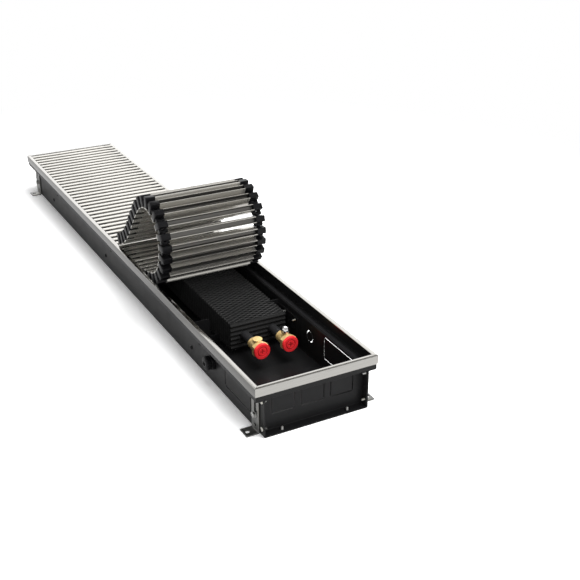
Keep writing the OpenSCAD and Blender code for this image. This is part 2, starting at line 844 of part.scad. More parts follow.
module gland_body() {
    grip = sheet_t + 2 * seat_gap + gland_lock_t + gland_tip;
    color("#17181a")
    at_gland() difference() {
        union() {
            translate([-seat_gap, 0, 0]) rotate([0, -90, 0]) hex_prism(gland_af, gland_hex_t);
            translate([-seat_gap - eps, 0, 0]) rod_x(gland_d, grip + eps);
        }
        translate([-gland_hex_t - over, 0, 0]) rod_x(cable_d, gland_hex_t + grip + 2 * over);
    }
}

module gland_cap_nut() {
    crown = gland_nut_l / 3;
    color("#1b1c1e")
    at_gland() translate([-2 * seat_gap - gland_hex_t, 0, 0]) rotate([0, -90, 0]) difference() {
        union() {
            cylinder(d = gland_nut_d, h = gland_nut_l - crown);
            translate([0, 0, gland_nut_l - crown])
                cylinder(d1 = gland_nut_d, d2 = gland_nut_d - 2 * crown, h = crown);
        }
        translate([0, 0, -over]) cylinder(d = cable_d, h = gland_nut_l + 2 * over);
    }
}

module gland_lock_nut() {
    color("#17181a")
    at_gland() translate([sheet_t + seat_gap, 0, 0]) difference() {
        rotate([0, 90, 0]) hex_prism(gland_af, gland_lock_t);
        translate([-over, 0, 0]) rod_x(gland_d + 2 * pin_clear, gland_lock_t + 2 * over);
    }
}

module rubber_strips() {
    color("#141415")
    for (side = [-1, 1])
        translate([side * (grille_w / 2 - strip_w / 2), 0, ledge_z + strip_t / 2])
            cube([strip_w, 2 * lip_end - 2 * sheet_t - 2 * mat_gap, strip_t], center = true);
}

// Cross-section of a slat, with its hinge line at zero
module slat_section() {
    y = slat_w / 2;
    bottom = hinge_drop - slat_h;
    inner = y - slat_leg_t;
    web_z = bottom + slat_groove;
    difference() {
        translate([-y, bottom]) square([slat_w, slat_h]);
        translate([-inner, bottom - over]) square([2 * inner, slat_groove + over]);
        translate([-inner, web_z + slat_leg_t])
            square([2 * inner, hinge_drop - slat_top_t - web_z - slat_leg_t]);
    }
}

// A metal slat: the full section between the links, the bare top over them
module slat() {
    bare_l = link_l + link_clear + eps;
    color("#d6d4cf") {
        along_x(grille_w - 2 * (link_l + link_clear)) slat_section();
        for (side = [-1, 1])
            translate([side * (grille_w - bare_l) / 2, 0, hinge_drop - slat_top_t / 2])
                cube([bare_l, slat_w, slat_top_t], center = true);
    }
}

// One knuckle of a link, with the neck that joins it to the link's body
module knuckle(x, y) {
    neck = abs(y) - link_w / 2 + eps;
    translate([x, y, 0]) rod_x(2 * knuckle_r, cheek_t);
    translate([x, y > 0 ? y - neck : y, -knuckle_r]) cube([cheek_t, neck, 2 * knuckle_r]);
}

// A plastic end link, from its outside end at X = 0 to the slat.
// Its fork and pin reach back over the hinge at +Y, its barrel forward to -Y.
module link(has_fork, has_barrel) {
    half = slat_pitch / 2;
    top = hinge_drop - slat_top_t - link_clear;
    bottom = hinge_drop - slat_h;
    barrel_x = knuckle_inset + cheek_t + knuckle_gap;
    tenon_w = slat_w - 2 * slat_leg_t - 2 * link_clear;
    tenon_z = bottom + slat_groove + slat_leg_t + link_clear;
    color("#161719")
    difference() {
        union() {
            translate([0, -link_w / 2, bottom]) cube([link_l, link_w, top - bottom]);
            translate([link_l - eps, -tenon_w / 2, tenon_z]) cube([tenon_l, tenon_w, top - tenon_z]);
            if (has_fork) {
                for (x = [knuckle_inset, link_l - cheek_t]) knuckle(x, half);
                translate([barrel_x - knuckle_gap - eps, half, 0])
                    rod_x(2 * pin_r, cheek_t + 2 * knuckle_gap + 2 * eps);
            }
            if (has_barrel) knuckle(barrel_x, -half);
        }
        if (has_barrel)
            translate([barrel_x - knuckle_gap, -half, 0]) rod_x(2 * bore_r, cheek_t + 2 * knuckle_gap);
    }
}

module link_pair(has_fork, has_barrel) {
    translate([-grille_w / 2, 0, 0]) link(has_fork, has_barrel);
    mirror([1, 0, 0]) translate([-grille_w / 2, 0, 0]) link(has_fork, has_barrel);
}

// Middle of flat slat i, counted from the rear
function flat_y(i) = grille_l / 2 - (i + 0.5) * slat_pitch;

module grille_slats_flat() {
    for (i = [0:flat_count - 1]) translate([0, flat_y(i), hinge_z]) slat();
}

module grille_links_flat() {
    for (i = [0:flat_count - 1]) translate([0, flat_y(i), hinge_z]) link_pair(i > 0, true);
}

// The turns of all the roll's hinges, with the turn that settles the tip
function spread(table) = [for (row = table) for (k = [1:row[0]]) row[1]];
function roll_turns(settle) =
    concat(spread(roll_rise), spread([[settle_count, settle]]), spread(roll_fall));

// The heading of slat i, and the place of the hinge before slat i
function sum_to(v, i) = i < 0 ? 0 : v[i] + sum_to(v, i - 1);
function headings(turns) = [for (i = [0:len(turns) - 1]) sum_to(turns, i)];
function hinge_at(h, i) =
    i == 0 ? [roll_y, hinge_z] : hinge_at(h, i - 1) + slat_pitch * [-cos(h[i - 1]), sin(h[i - 1])];

// Height of the last link's lowest corner above the flat slats
function tip_height(settle) =
    let (h = headings(roll_turns(settle)), n = len(h) - 1, a = h[n],
         mid = hinge_at(h, n) + slat_pitch / 2 * [-cos(a), sin(a)],
         up = hinge_drop * abs(cos(a)), along = slat_w / 2 * abs(sin(a)))
    mid[1] - up - along - overall_h;

// The turn at which the tip lies tip_gap above the flat slats, by halving
function settle_turn(low, high, steps) =
    let (mid = (low + high) / 2)
    steps == 0 ? mid
    : tip_height(mid) > tip_gap ? settle_turn(mid, high, steps - 1)
    : settle_turn(low, mid, steps - 1);

settled = settle_turn(settle_limits[0], settle_limits[1], settle_steps);
roll_headings = headings(roll_turns(settled));

// One slat of the roll with its two links, i counted from 1 at the base
module roll_slat(i) {
    heading = roll_headings[i - 1];
    base = hinge_at(roll_headings, i - 1);
    translate([0, base[0], base[1]]) rotate([-heading, 0, 0]) translate([0, -slat_pitch / 2, 0]) {
        slat();
        link_pair(true, i < roll_count);
    }
}

trough_casing();
front_end_plate();
rear_end_plate();
frame_left();
frame_right();
frame_front();
frame_rear();
front_left_foot();
front_right_foot();
rear_left_foot();
rear_right_foot();
foot_fasteners();
end_plate_screws();
exchanger_fins();
exchanger_front_plate();
exchanger_rear_plate();
supply_tube();
return_tube();
return_bend();
exchanger_brackets();
bracket_screws();
supply_fitting();
return_fitting();
supply_cap();
return_cap();
drain_plug();
air_vent_knob();
gland_body();
gland_cap_nut();
gland_lock_nut();
rubber_strips();
grille_slats_flat();
grille_links_flat();
for (i = [1:roll_count])
    roll_slat(i);
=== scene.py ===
"""Looks of a trench convector heater: aluminium frame and slats, black trough, finned exchanger.

Every piece is built in metres around the packed frame: X runs across the trough, Y from its
connection end to its rear end and Z up from the floor.
"""
import json
import math

import bmesh
import bpy
from mathutils import Matrix, Vector


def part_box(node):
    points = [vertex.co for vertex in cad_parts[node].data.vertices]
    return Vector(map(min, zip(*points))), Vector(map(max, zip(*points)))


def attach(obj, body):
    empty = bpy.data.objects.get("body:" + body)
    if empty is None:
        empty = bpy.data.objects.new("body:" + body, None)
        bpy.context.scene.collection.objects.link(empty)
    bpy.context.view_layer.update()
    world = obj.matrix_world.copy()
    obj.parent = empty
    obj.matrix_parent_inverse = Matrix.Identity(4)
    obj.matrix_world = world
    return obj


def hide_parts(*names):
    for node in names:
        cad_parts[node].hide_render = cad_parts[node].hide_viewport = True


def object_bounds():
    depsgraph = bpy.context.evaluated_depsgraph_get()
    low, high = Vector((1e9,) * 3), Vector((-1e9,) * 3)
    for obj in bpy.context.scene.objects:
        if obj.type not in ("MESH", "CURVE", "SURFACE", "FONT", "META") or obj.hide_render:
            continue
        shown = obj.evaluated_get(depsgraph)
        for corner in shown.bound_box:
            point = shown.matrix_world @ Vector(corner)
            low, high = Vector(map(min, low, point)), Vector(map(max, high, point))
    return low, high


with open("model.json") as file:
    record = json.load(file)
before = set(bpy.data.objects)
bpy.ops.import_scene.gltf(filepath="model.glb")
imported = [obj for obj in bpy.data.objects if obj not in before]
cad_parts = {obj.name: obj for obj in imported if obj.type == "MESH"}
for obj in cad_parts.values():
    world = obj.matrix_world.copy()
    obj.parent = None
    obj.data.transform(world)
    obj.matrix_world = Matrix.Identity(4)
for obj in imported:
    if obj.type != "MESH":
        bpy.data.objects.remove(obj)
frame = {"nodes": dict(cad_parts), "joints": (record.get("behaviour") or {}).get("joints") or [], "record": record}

bl_info = {
    "name": "Trench convector heater",
    "version": (1, 0, 0),
    "blender": (4, 5, 0),
    "location": "3D View > Sidebar > Heater",
    "description": "Builds the pieces and finishes of a trench convector heater",
    "category": "Object",
}

MM = 0.001
CAD_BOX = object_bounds()
NODES = frame["nodes"]
FULL_TURN = 2 * math.pi

# Points that lie closer than this are one point, in a built mesh and in a packed one
MERGED = 0.01 * MM
PACKED_MERGED = 0.001 * MM
# Play of a hole round what passes through it
PLAY = 0.05 * MM
# Gap between two seated pieces, and the margin of a face that lies in a known plane
SEAT = 0.1 * MM
# Share of a face's normal along an axis from which the face counts as looking that way
SQUARE_ON = 0.9
# Most of a noise texture's values lie between these two
NOISE_LOW = 0.3
NOISE_HIGH = 0.7


def node_size(node):
    """Size of a packed node along X, Y and Z."""
    low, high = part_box(node)
    return high - low


def hinge_points():
    """The roll's hinges in order, as (body, place)."""
    hinges = [j for j in frame["joints"] if j["name"].startswith("roll_hinge_")]
    return [(j["child"], Vector(j["pos_m"])) for j in sorted(hinges, key=lambda j: j["name"])]


HINGES = hinge_points()
FIRST_HINGE = HINGES[0][1]
PITCH = (HINGES[1][1] - FIRST_HINGE).length
GRILLE_LOW, GRILLE_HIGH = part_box("grille_slats_flat")
PLATE_LOW, PLATE_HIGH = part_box("exchanger_front_plate")
REAR_PLATE_LOW, REAR_PLATE_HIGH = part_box("exchanger_rear_plate")


def length(name, description, default):
    """A size in metres for a property group."""
    return bpy.props.FloatProperty(
        name=name, description=description, default=default, min=0.0, precision=5,
        subtype="DISTANCE", unit="LENGTH")


def count(name, description, default):
    """A whole number for a property group."""
    return bpy.props.IntProperty(name=name, description=description, default=default, min=1)


def number(name, description, default):
    """A plain number for a property group."""
    return bpy.props.FloatProperty(name=name, description=description, default=default, precision=3)


def rotation(name, description, degrees):
    """An angle for a property group."""
    return bpy.props.FloatProperty(
        name=name, description=description, default=math.radians(degrees),
        subtype="ANGLE", unit="ROTATION")


def colour(name, description, default):
    """A linear colour for a property group."""
    return bpy.props.FloatVectorProperty(
        name=name, description=description, default=default, size=3, min=0.0, max=1.0,
        subtype="COLOR")


class FrameSizes(bpy.types.PropertyGroup):
    """Sizes of the aluminium edge frame."""
    thickness: length("Thickness", "Wall of the angle profile", 1.5 * MM)
    edge: length("Edge radius", "Rounding of the profile's outer corners", 0.6 * MM)
    mitre_gap: length("Mitre gap", "Open line at the mitred corners", 0.3 * MM)


class GrilleSizes(bpy.types.PropertyGroup):
    """Sizes of the slats and their end links."""
    slat_width: length("Slat width", "Width of one slat", PITCH - 2 * (GRILLE_LOW.y - FIRST_HINGE.y))
    slat_height: length("Slat height", "Height of one slat", GRILLE_HIGH.z - GRILLE_LOW.z)
    top_thickness: length("Top", "Thickness of a slat's top", 1.5 * MM)
    leg_thickness: length("Leg", "Thickness of a slat's legs and lower web", 1.2 * MM)
    groove: length("Groove", "Depth of the groove under a slat", 8 * MM)
    edge: length("Edge radius", "Rounding of a slat's corners", 0.45 * MM)
    link_length: length("Link length", "Length of an end link along the slat", 16 * MM)
    link_width: length("Link width", "Width of an end link along the grille", 10 * MM)
    link_gap: length("Link gap", "Play between a link and its slat", 0.1 * MM)
    knuckle_radius: length("Knuckle", "Radius of a link's knuckles", 3 * MM)
    knuckle_inset: length("Knuckle inset", "Distance of the knuckles from a link's outside end", 1.5 * MM)
    knuckle_gap: length("Knuckle gap", "Side play between two knuckles", 0.3 * MM)
    pin_radius: length("Pin", "Radius of the pin moulded on a link", 1.5 * MM)
    bore_radius: length("Bore", "Radius of the bore that takes the pin", 1.55 * MM)
    link_chamfer: length("Link chamfer", "Chamfer on a link's edges", 0.45 * MM)


class ExchangerSizes(bpy.types.PropertyGroup):
    """Sizes of the heat exchanger."""
    fin_pitch: length("Fin pitch", "Distance from fin to fin", 3.9 * MM)
    fin_thickness: length("Fin", "Thickness of a fin's sheet", 0.4 * MM)
    hem_thickness: length("Hem", "Thickness of the folded edge along a fin's top", 1.25 * MM)
    hem_height: length("Hem height", "Height of the folded edge", 1.6 * MM)
    wave: length("Wave", "Height of a fin's waves to each side", 1.35 * MM)
    half_waves: count("Half waves", "Number of half waves across a fin", 12)
    plate_thickness: length("End plate", "Thickness of the ridged end plates", 1.5 * MM)
    plate_wave: length("Ridge", "Height of an end plate's ridges to each side", 1.2 * MM)
    ridges: count("Ridges", "Number of ridges up an end plate", 6)
    tube_wall: length("Tube wall", "Wall of the copper tubes", 1 * MM)


class FittingSizes(bpy.types.PropertyGroup):
    """Sizes of the water fittings, their caps, the drain plug and the air vent."""
    collar_radius: length("Collar", "Radius of the collar round the tube", 8.5 * MM)
    collar_length: length("Collar length", "Length of that collar", 8 * MM)
    body_radius: length("Body", "Radius of a fitting's round body", 10 * MM)
    hexagon: length("Hexagon", "Distance across the flats of the hexagon", 25 * MM)
    hexagon_length: length("Hexagon length", "Length of the hexagon", 8.8 * MM)
    thread_radius: length("Thread", "Radius of the pipe thread", 10.45 * MM)
    thread_pitch: length("Thread pitch", "Distance between two turns of the thread", 1.3 * MM)
    boss_radius: length("Boss", "Radius of the boss on top of a fitting", 5 * MM)
    ring_radius: length("Cap ring", "Outer radius of the ring sunk into a cap's face", 8.5 * MM)
    ring_width: length("Cap ring width", "Width of that ring", 1.5 * MM)
    mark_depth: length("Mark depth", "Depth of the ring and cross in a cap's face", 0.8 * MM)
    cross_length: length("Cross", "Length of the cross in a cap's face", 9 * MM)
    cross_width: length("Cross width", "Width of the cross's arms", 2 * MM)
    knob_facets: count("Knob facets", "Number of facets round the air vent's knob", 12)


class Finishes(bpy.types.PropertyGroup):
    """Colours of the finishes."""
    casing: colour("Powder coat", "Satin black of the trough and its brackets", (0.0085, 0.0085, 0.0089))
    aluminium: colour("Frame", "Anodised aluminium of the frame", (0.36, 0.352, 0.334))
    slat: colour("Slats", "Anodised aluminium of the slats", (0.47, 0.455, 0.42))
    zinc: colour("Zinc", "Zinc plating of feet and screws", (0.42, 0.42, 0.41))
    fin: colour("Fins", "Black coating of the fins", (0.030, 0.030, 0.030))
    tube: colour("Coated tube", "Black coating of the tubes", (0.018, 0.018, 0.019))
    copper: colour("Copper", "Bare copper of the return bend", (0.72, 0.36, 0.22))
    brass: colour("Brass", "Machined brass of the fittings", (0.84, 0.61, 0.27))
    cap: colour("Caps", "Red plastic of the protective caps", (0.96, 0.034, 0.042))
    vent: colour("Air vent", "Nickel plating of the air vent", (0.80, 0.80, 0.80))
    plastic: colour("Plastic", "Black polyamide of the links and the gland", (0.0045, 0.0045, 0.005))
    rubber: colour("Rubber", "Rubber strip under the grille", (0.016, 0.016, 0.017))


class StageSizes(bpy.types.PropertyGroup):
    """Camera, floor and lights."""
    lens: number("Lens", "Focal length of the camera in millimetres", 62.16)
    sensor: number("Sensor", "Width of the camera's sensor in millimetres", 36.0)
    heading: rotation("Heading", "Turn of the view from the trough's length to the right", 28.54)
    down: rotation("Down", "Angle by which the camera looks down", 25.755)
    roll: rotation("Roll", "Turn of the camera about its own axis", 0.15)
    place: bpy.props.FloatVectorProperty(
        name="Place", description="Place of the camera", default=(-0.6157, -1.6223, 0.7983), size=3,
        subtype="TRANSLATION", unit="LENGTH")
    floor_size: length("Floor", "Length of the floor's sides", 16.0)
    floor_colour: colour("Floor colour", "Colour of the floor", (0.86, 0.86, 0.86))
    floor_gain: number("Floor gain", "How much lighter the camera sees the floor than it is lit", 1.5)
    floor_white: number("Floor white", "Share of plain white in the floor near the middle", 0.10)
    floor_reach: length("Floor reach", "Distance from the middle at which the floor starts to whiten", 0.64)
    card_size: length("Card", "Length of the sides of the card overhead", 5.0)
    card_height: length("Card height", "Height of the card overhead", 2.9)
    key_power: number("Key lamp", "Power of the lamp overhead in watts", 92.0)
    front_power: number("Front lamp", "Power of the lamp at the connection end in watts", 62.0)
    rear_power: number("Rear lamp", "Power of the lamp that the metal reflects, in watts", 24.0)
    ambient: number("Ambient", "Strength of the even light from all round", 0.37)


# Node trees of the finishes


def add_node(tree, kind, **values):
    """A new node of a tree, with some of its own settings."""
    node = tree.nodes.new(kind)
    for key, value in values.items():
        setattr(node, key, value)
    return node


def preset(node, **values):
    """Sets inputs of a node, named with _ for a blank, and gives the node back."""
    for key, value in values.items():
        node.inputs[key.replace("_", " ")].default_value = value
    return node


class Finish:
    """A material with short calls for the nodes that the finishes share."""

    def __init__(self, name, roughness, metallic=0.0):
        self.material = bpy.data.materials.new(name)
        self.material.use_nodes = True
        self.tree = self.material.node_tree
        self.tree.nodes.clear()
        self.output = self.add("ShaderNodeOutputMaterial")
        self.shader = preset(self.add("ShaderNodeBsdfPrincipled"), Roughness=roughness, Metallic=metallic)
        self.link(self.shader.outputs[0], self.output.inputs["Surface"])
        self.place = self.add("ShaderNodeTexCoord").outputs["Object"]

    def add(self, kind, **values):
        """A new node of the material."""
        return add_node(self.tree, kind, **values)

    def link(self, a, b):
        """A link from an output to an input."""
        self.tree.links.new(a, b)

    def stretched(self, scale):
        """Object coordinates stretched by a scale for each axis."""
        mapping = preset(self.add("ShaderNodeMapping"), Scale=scale)
        self.link(self.place, mapping.inputs["Vector"])
        return mapping.outputs["Vector"]

    def noise(self, scale, detail=3.0, stretch=None):
        """Soft noise, drawn out along some axes where a stretch is given."""
        texture = preset(self.add("ShaderNodeTexNoise"), Scale=scale, Detail=detail)
        self.link(self.stretched(stretch) if stretch else self.place, texture.inputs["Vector"])
        return texture.outputs["Fac"]

    def rings(self, scale, direction):
        """Fine bands along one axis, as a lathe leaves them on a turned part."""
        wave = self.add("ShaderNodeTexWave", wave_type="BANDS", bands_direction=direction)
        preset(wave, Scale=scale, Distortion=0.6)
        self.link(self.place, wave.inputs["Vector"])
        return wave.outputs["Fac"]

    def colours(self, factor, stops):
        """Base colour from a factor through (position, colour) stops."""
        ramp = self.add("ShaderNodeValToRGB")
        elements = ramp.color_ramp.elements
        while len(elements) < len(stops):
            elements.new(0.5)
        for element, (position, tint) in zip(elements, stops):
            element.position = position
            element.color = (*tint, 1.0)
        self.link(factor, ramp.inputs["Fac"])
        self.link(ramp.outputs["Color"], self.shader.inputs["Base Color"])

    def tones(self, factor, tint, low, high):
        """Base colour between two shades of a tint, as a noise goes."""
        self.colours(factor, [(NOISE_LOW, shade(tint, low)), (NOISE_HIGH, shade(tint, high))])

    def roughness(self, factor, low, high):
        """Roughness that follows a factor between two values."""
        remap = preset(self.add("ShaderNodeMapRange"),
                       From_Min=NOISE_LOW, From_Max=NOISE_HIGH, To_Min=low, To_Max=high)
        self.link(factor, remap.inputs["Value"])
        self.link(remap.outputs["Result"], self.shader.inputs["Roughness"])

    def bump(self, height, distance):
        """Fine relief of a given depth in metres."""
        node = preset(self.add("ShaderNodeBump"), Distance=distance, Strength=1.0)
        self.link(height, node.inputs["Height"])
        self.link(node.outputs["Normal"], self.shader.inputs["Normal"])


def shade(tint, factor):
    """A colour made lighter or darker."""
    return tuple(min(1.0, part * factor) for part in tint)


def powder_coat(name, tint, roughness):
    """Satin powder coat: fine orange peel, and a faint cloud in tone and gloss."""
    finish = Finish(name, roughness)
    preset(finish.shader, Specular_IOR_Level=0.15)
    finish.tones(finish.noise(9.0), tint, 0.94, 1.06)
    finish.roughness(finish.noise(25.0), roughness - 0.03, roughness + 0.03)
    finish.bump(finish.noise(1500.0, 2.0), 0.03 * MM)
    return finish.material


def anodised(name, tint, along, low, high, bare=1.0):
    """Anodised aluminium with the fine lines that extrusion leaves along the profile."""
    finish = Finish(name, (low + high) / 2, bare)
    stretch = [1.0 if axis == along else 60.0 for axis in "XYZ"]
    lines = finish.noise(30.0, 4.0, stretch)
    finish.tones(lines, tint, 0.92, 1.06)
    finish.roughness(finish.noise(9.0, 4.0, stretch), low, high)
    finish.bump(lines, 0.03 * MM)
    return finish.material


def zinc_plate(name, tint):
    """Zinc plating: soft patches of darker, lighter and yellowish grey, and a fine grain."""
    finish = Finish(name, 0.34, 1.0)
    warm = (tint[0] * 1.08, tint[1] * 1.03, tint[2] * 0.88)
    patches = [(0.32, shade(tint, 0.9)), (0.52, shade(tint, 1.08)), (0.72, warm)]
    finish.colours(finish.noise(45.0, 4.0), patches)
    finish.roughness(finish.noise(160.0), 0.26, 0.44)
    finish.bump(finish.noise(700.0, 3.0), 0.05 * MM)
    return finish.material


def turned_metal(name, tint, low, high, direction, mark_scale, bare=1.0):
    """Turned metal: lathe marks across the axis, and a dull film where it isn't bare."""
    finish = Finish(name, (low + high) / 2, bare)
    finish.colours(finish.noise(40.0, 2.0), [(NOISE_LOW, shade(tint, 0.93)), (0.62, tint)])
    finish.roughness(finish.noise(60.0), low, high)
    finish.bump(finish.rings(mark_scale, direction), 0.01 * MM)
    return finish.material


def moulded(name, tint, low, high, grain, gloss=0.13):
    """Moulded plastic or rubber: a fine grain, with the gloss a little uneven."""
    finish = Finish(name, (low + high) / 2)
    preset(finish.shader, Specular_IOR_Level=gloss)
    finish.tones(finish.noise(30.0), tint, 0.94, 1.05)
    finish.roughness(finish.noise(90.0), low, high)
    finish.bump(finish.noise(grain, 2.0), 0.02 * MM)
    return finish.material


MAKERS = {
    "casing_black": lambda name, c: powder_coat(name, c.casing, 0.42),
    "bracket_black": lambda name, c: powder_coat(name, c.casing, 0.40),
    "fin_black": lambda name, c: powder_coat(name, c.fin, 0.45),
    "plate_black": lambda name, c: powder_coat(name, shade(c.fin, 0.45), 0.45),
    "tube_black": lambda name, c: powder_coat(name, c.tube, 0.38),
    "frame_long": lambda name, c: anodised(name, c.aluminium, "Y", 0.10, 0.17),
    # Painted shade: a darker copy of the frame's aluminium for the outer faces of the long profiles, standing in
    # for the dark reflection they show
    "frame_flank": lambda name, c: anodised(name, shade(c.aluminium, 0.26), "Y", 0.10, 0.17),
    "frame_short": lambda name, c: anodised(name, c.aluminium, "X", 0.10, 0.17),
    "slat_aluminium": lambda name, c: anodised(name, c.slat, "X", 0.12, 0.20, 0.73),
    # Painted shade: a darker copy of the slats' aluminium inside the groove under each rolled slat
    "slat_groove": lambda name, c: anodised(name, shade(c.slat, 0.26), "X", 0.30, 0.42, 0.8),
    "zinc_steel": lambda name, c: zinc_plate(name, c.zinc),
    # Painted shade: a darker copy of the zinc for the feet, standing in for the dark trough that they reflect
    "foot_zinc": lambda name, c: zinc_plate(name, shade(c.zinc, 0.42)),
    "tube_copper": lambda name, c: turned_metal(name, c.copper, 0.24, 0.42, "Y", 40.0),
    "fitting_brass": lambda name, c: turned_metal(name, c.brass, 0.30, 0.42, "Y", 500.0, 0.55),
    "plug_brass": lambda name, c: turned_metal(name, shade(c.brass, 1.12), 0.34, 0.46, "Z", 500.0, 0.4),
    "vent_chrome": lambda name, c: turned_metal(name, c.vent, 0.06, 0.16, "Z", 400.0),
    "cap_red": lambda name, c: moulded(name, c.cap, 0.26, 0.40, 900.0, 0.35),
    # Painted shade: a darker red for the floors of the ring and cross sunk into a cap's face
    "cap_mark": lambda name, c: moulded(name, shade(c.cap, 0.42), 0.40, 0.50, 900.0),
    "gland_black": lambda name, c: moulded(name, c.plastic, 0.36, 0.52, 1600.0),
    "link_black": lambda name, c: moulded(name, c.plastic, 0.30, 0.46, 1600.0),
    "rubber_black": lambda name, c: moulded(name, c.rubber, 0.62, 0.80, 2200.0),
}


def material(name):
    """The finish of that name, made the first time it is asked for."""
    full_name = name + "_finish"
    found = bpy.data.materials.get(full_name)
    return found or MAKERS[name](full_name, bpy.context.scene.heater_finishes)


# Meshes


def axis_point(axis, a, b, h):
    """The point at height h on an axis, and a and b across it, right-handed."""
    return {"x": (h, a, b), "y": (b, h, a), "z": (a, b, h)}[axis]


def mesh_of(bm, name):
    """A mesh from a bmesh, with its doubles merged and its faces outwards."""
    bmesh.ops.remove_doubles(bm, verts=bm.verts, dist=MERGED)
    bmesh.ops.recalc_face_normals(bm, faces=bm.faces)
    mesh = bpy.data.meshes.new(name)
    bm.to_mesh(mesh)
    bm.free()
    return mesh


def skin(rings, name, looped=False):
    """A closed solid through rings of points. A ring of one point closes it to a tip."""
    bm = bmesh.new()
    made = [[bm.verts.new(p) for p in ring] for ring in rings]
    pairs = list(zip(made, made[1:])) + ([(made[-1], made[0])] if looped else [])
    for low, high in pairs:
        size = max(len(low), len(high))
        for i in range(size):
            j = (i + 1) % size
            corners = [low[i % len(low)], low[j % len(low)], high[j % len(high)], high[i % len(high)]]
            bm.faces.new(list(dict.fromkeys(corners)))
    if not looped:
        for ring in (made[0], made[-1]):
            if len(ring) > 2:
                bm.faces.new(ring)
    return mesh_of(bm, name)


def circle(radius, steps, start=0.0):
    """Points round a circle, as (a, b)."""
    angles = [start + FULL_TURN * i / steps for i in range(steps)]
    return [(radius * math.cos(t), radius * math.sin(t)) for t in angles]


def revolved(profile, steps, axis, name, looped=False):
    """A turned solid from (radius, height) points along its axis."""
    rings = []
    for radius, height in profile:
        points = circle(radius, steps) if radius > 0 else [(0.0, 0.0)]
        rings.append([axis_point(axis, a, b, height) for a, b in points])
    return skin(rings, name, looped)


def prism(outline, start, end, axis, name="prism"):
    """A solid between two heights on an axis, from an outline drawn across it."""
    rings = [[axis_point(axis, a, b, height) for a, b in outline] for height in (start, end)]
    return skin(rings, name)


def pierced_prism(outline, holes, start, end, axis, name):
    """A prism with holes right through it."""
    bm = bmesh.new()
    caps = []
    for height in (start, end):
        loops = [[bm.verts.new(axis_point(axis, a, b, height)) for a, b in loop]
                 for loop in [outline, *holes]]
        edges = []
        for loop in loops:
            edges += [bm.edges.new((loop[i - 1], loop[i])) for i in range(len(loop))]
        bmesh.ops.triangle_fill(bm, use_beauty=True, use_dissolve=False, edges=edges)
        caps.append(loops)
    for low, high in zip(*caps):
        for i in range(len(low)):
            bm.faces.new((low[i - 1], low[i], high[i], high[i - 1]))
    return mesh_of(bm, name)


def block(low, high, name="block"):
    """A rectangular block between two corners."""
    outline = [(low[1], low[2]), (high[1], low[2]), (high[1], high[2]), (low[1], high[2])]
    return prism(outline, low[0], high[0], "x", name)


def rounded(points, radii, steps=3):
    """An outline whose corners are rounded, by one radius or by a list with one for each."""
    outline = []
    for i, corner in enumerate(points):
        before, after = Vector(points[i - 1]), Vector(points[(i + 1) % len(points)])
        corner = Vector(corner)
        to_before, to_after = (before - corner).normalized(), (after - corner).normalized()
        radius = radii[i] if isinstance(radii, (list, tuple)) else radii
        half = to_before.angle(to_after) / 2
        if radius <= 0 or math.isclose(half, math.pi / 2, abs_tol=1e-4):
            outline.append(tuple(corner))
            continue
        centre = corner + (to_before + to_after).normalized() * radius / math.sin(half)
        first = corner + to_before * radius / math.tan(half) - centre
        last = corner + to_after * radius / math.tan(half) - centre
        sweep = first.angle_signed(last)
        for k in range(steps + 1):
            outline.append(tuple(centre + Matrix.Rotation(-sweep * k / steps, 2) @ first))
    return outline


def scene_object(name, mesh):
    """A new object in the scene, at the origin."""
    made = bpy.data.objects.new(name, mesh)
    bpy.context.scene.collection.objects.link(made)
    return made


def settled(holder, name):
    """The evaluated shape of an object as a plain mesh. The object itself goes."""
    bpy.context.view_layer.update()
    graph = bpy.context.evaluated_depsgraph_get()
    mesh = bpy.data.meshes.new_from_object(holder.evaluated_get(graph))
    mesh.name = name
    bpy.data.objects.remove(holder)
    return mesh


def combined(base, tools, operation):
    """A mesh joined with, cut by or kept inside other meshes."""
    for tool in tools:
        holder = scene_object("boolean_base", base)
        helper = scene_object("boolean_tool", tool)
        modifier = holder.modifiers.new("boolean", "BOOLEAN")
        modifier.operation = operation
        modifier.solver = "EXACT"
        modifier.object = helper
        base = settled(holder, base.name)
        bpy.data.objects.remove(helper)
    return base


def softened(mesh, width, segments=1, angle=30.0):
    """A mesh whose sharp edges are rounded."""
    holder = scene_object("soften", mesh)
    modifier = holder.modifiers.new("bevel", "BEVEL")
    modifier.width = width
    modifier.segments = segments
    modifier.limit_method = "ANGLE"
    modifier.angle_limit = math.radians(angle)
    modifier.use_clamp_overlap = True
    return settled(holder, mesh.name)


def shifted(mesh, place):
    """A copy of a mesh, moved."""
    copy = mesh.copy()
    copy.transform(Matrix.Translation(place))
    return copy


def mirrored(mesh):
    """A copy of a mesh mirrored across X = 0, with its faces outwards again."""
    bm = bmesh.new()
    bm.from_mesh(mesh)
    bmesh.ops.scale(bm, vec=(-1, 1, 1), verts=bm.verts)
    return mesh_of(bm, mesh.name)


def merged(meshes, name):
    """Several meshes as one mesh of separate solids."""
    bm = bmesh.new()
    for mesh in meshes:
        bm.from_mesh(mesh)
    mesh = bpy.data.meshes.new(name)
    bm.to_mesh(mesh)
    bm.free()
    return mesh


def piece(name, mesh, finish, body, nodes=(), angle=35.0):
    """A finished piece that rides on a body and stands for packed nodes."""
    mesh.name = name
    for polygon in mesh.polygons:
        polygon.use_smooth = True
    mesh.set_sharp_from_angle(angle=math.radians(angle))
    mesh.materials.clear()
    mesh.materials.append(material(finish))
    made = scene_object(name, mesh)
    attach(made, body)
    if nodes:
        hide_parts(*nodes)
    return made


def dress(node, finish):
    """Gives a packed node its finish."""
    for holder in NODES[node].material_slots:
        holder.material = material(finish)


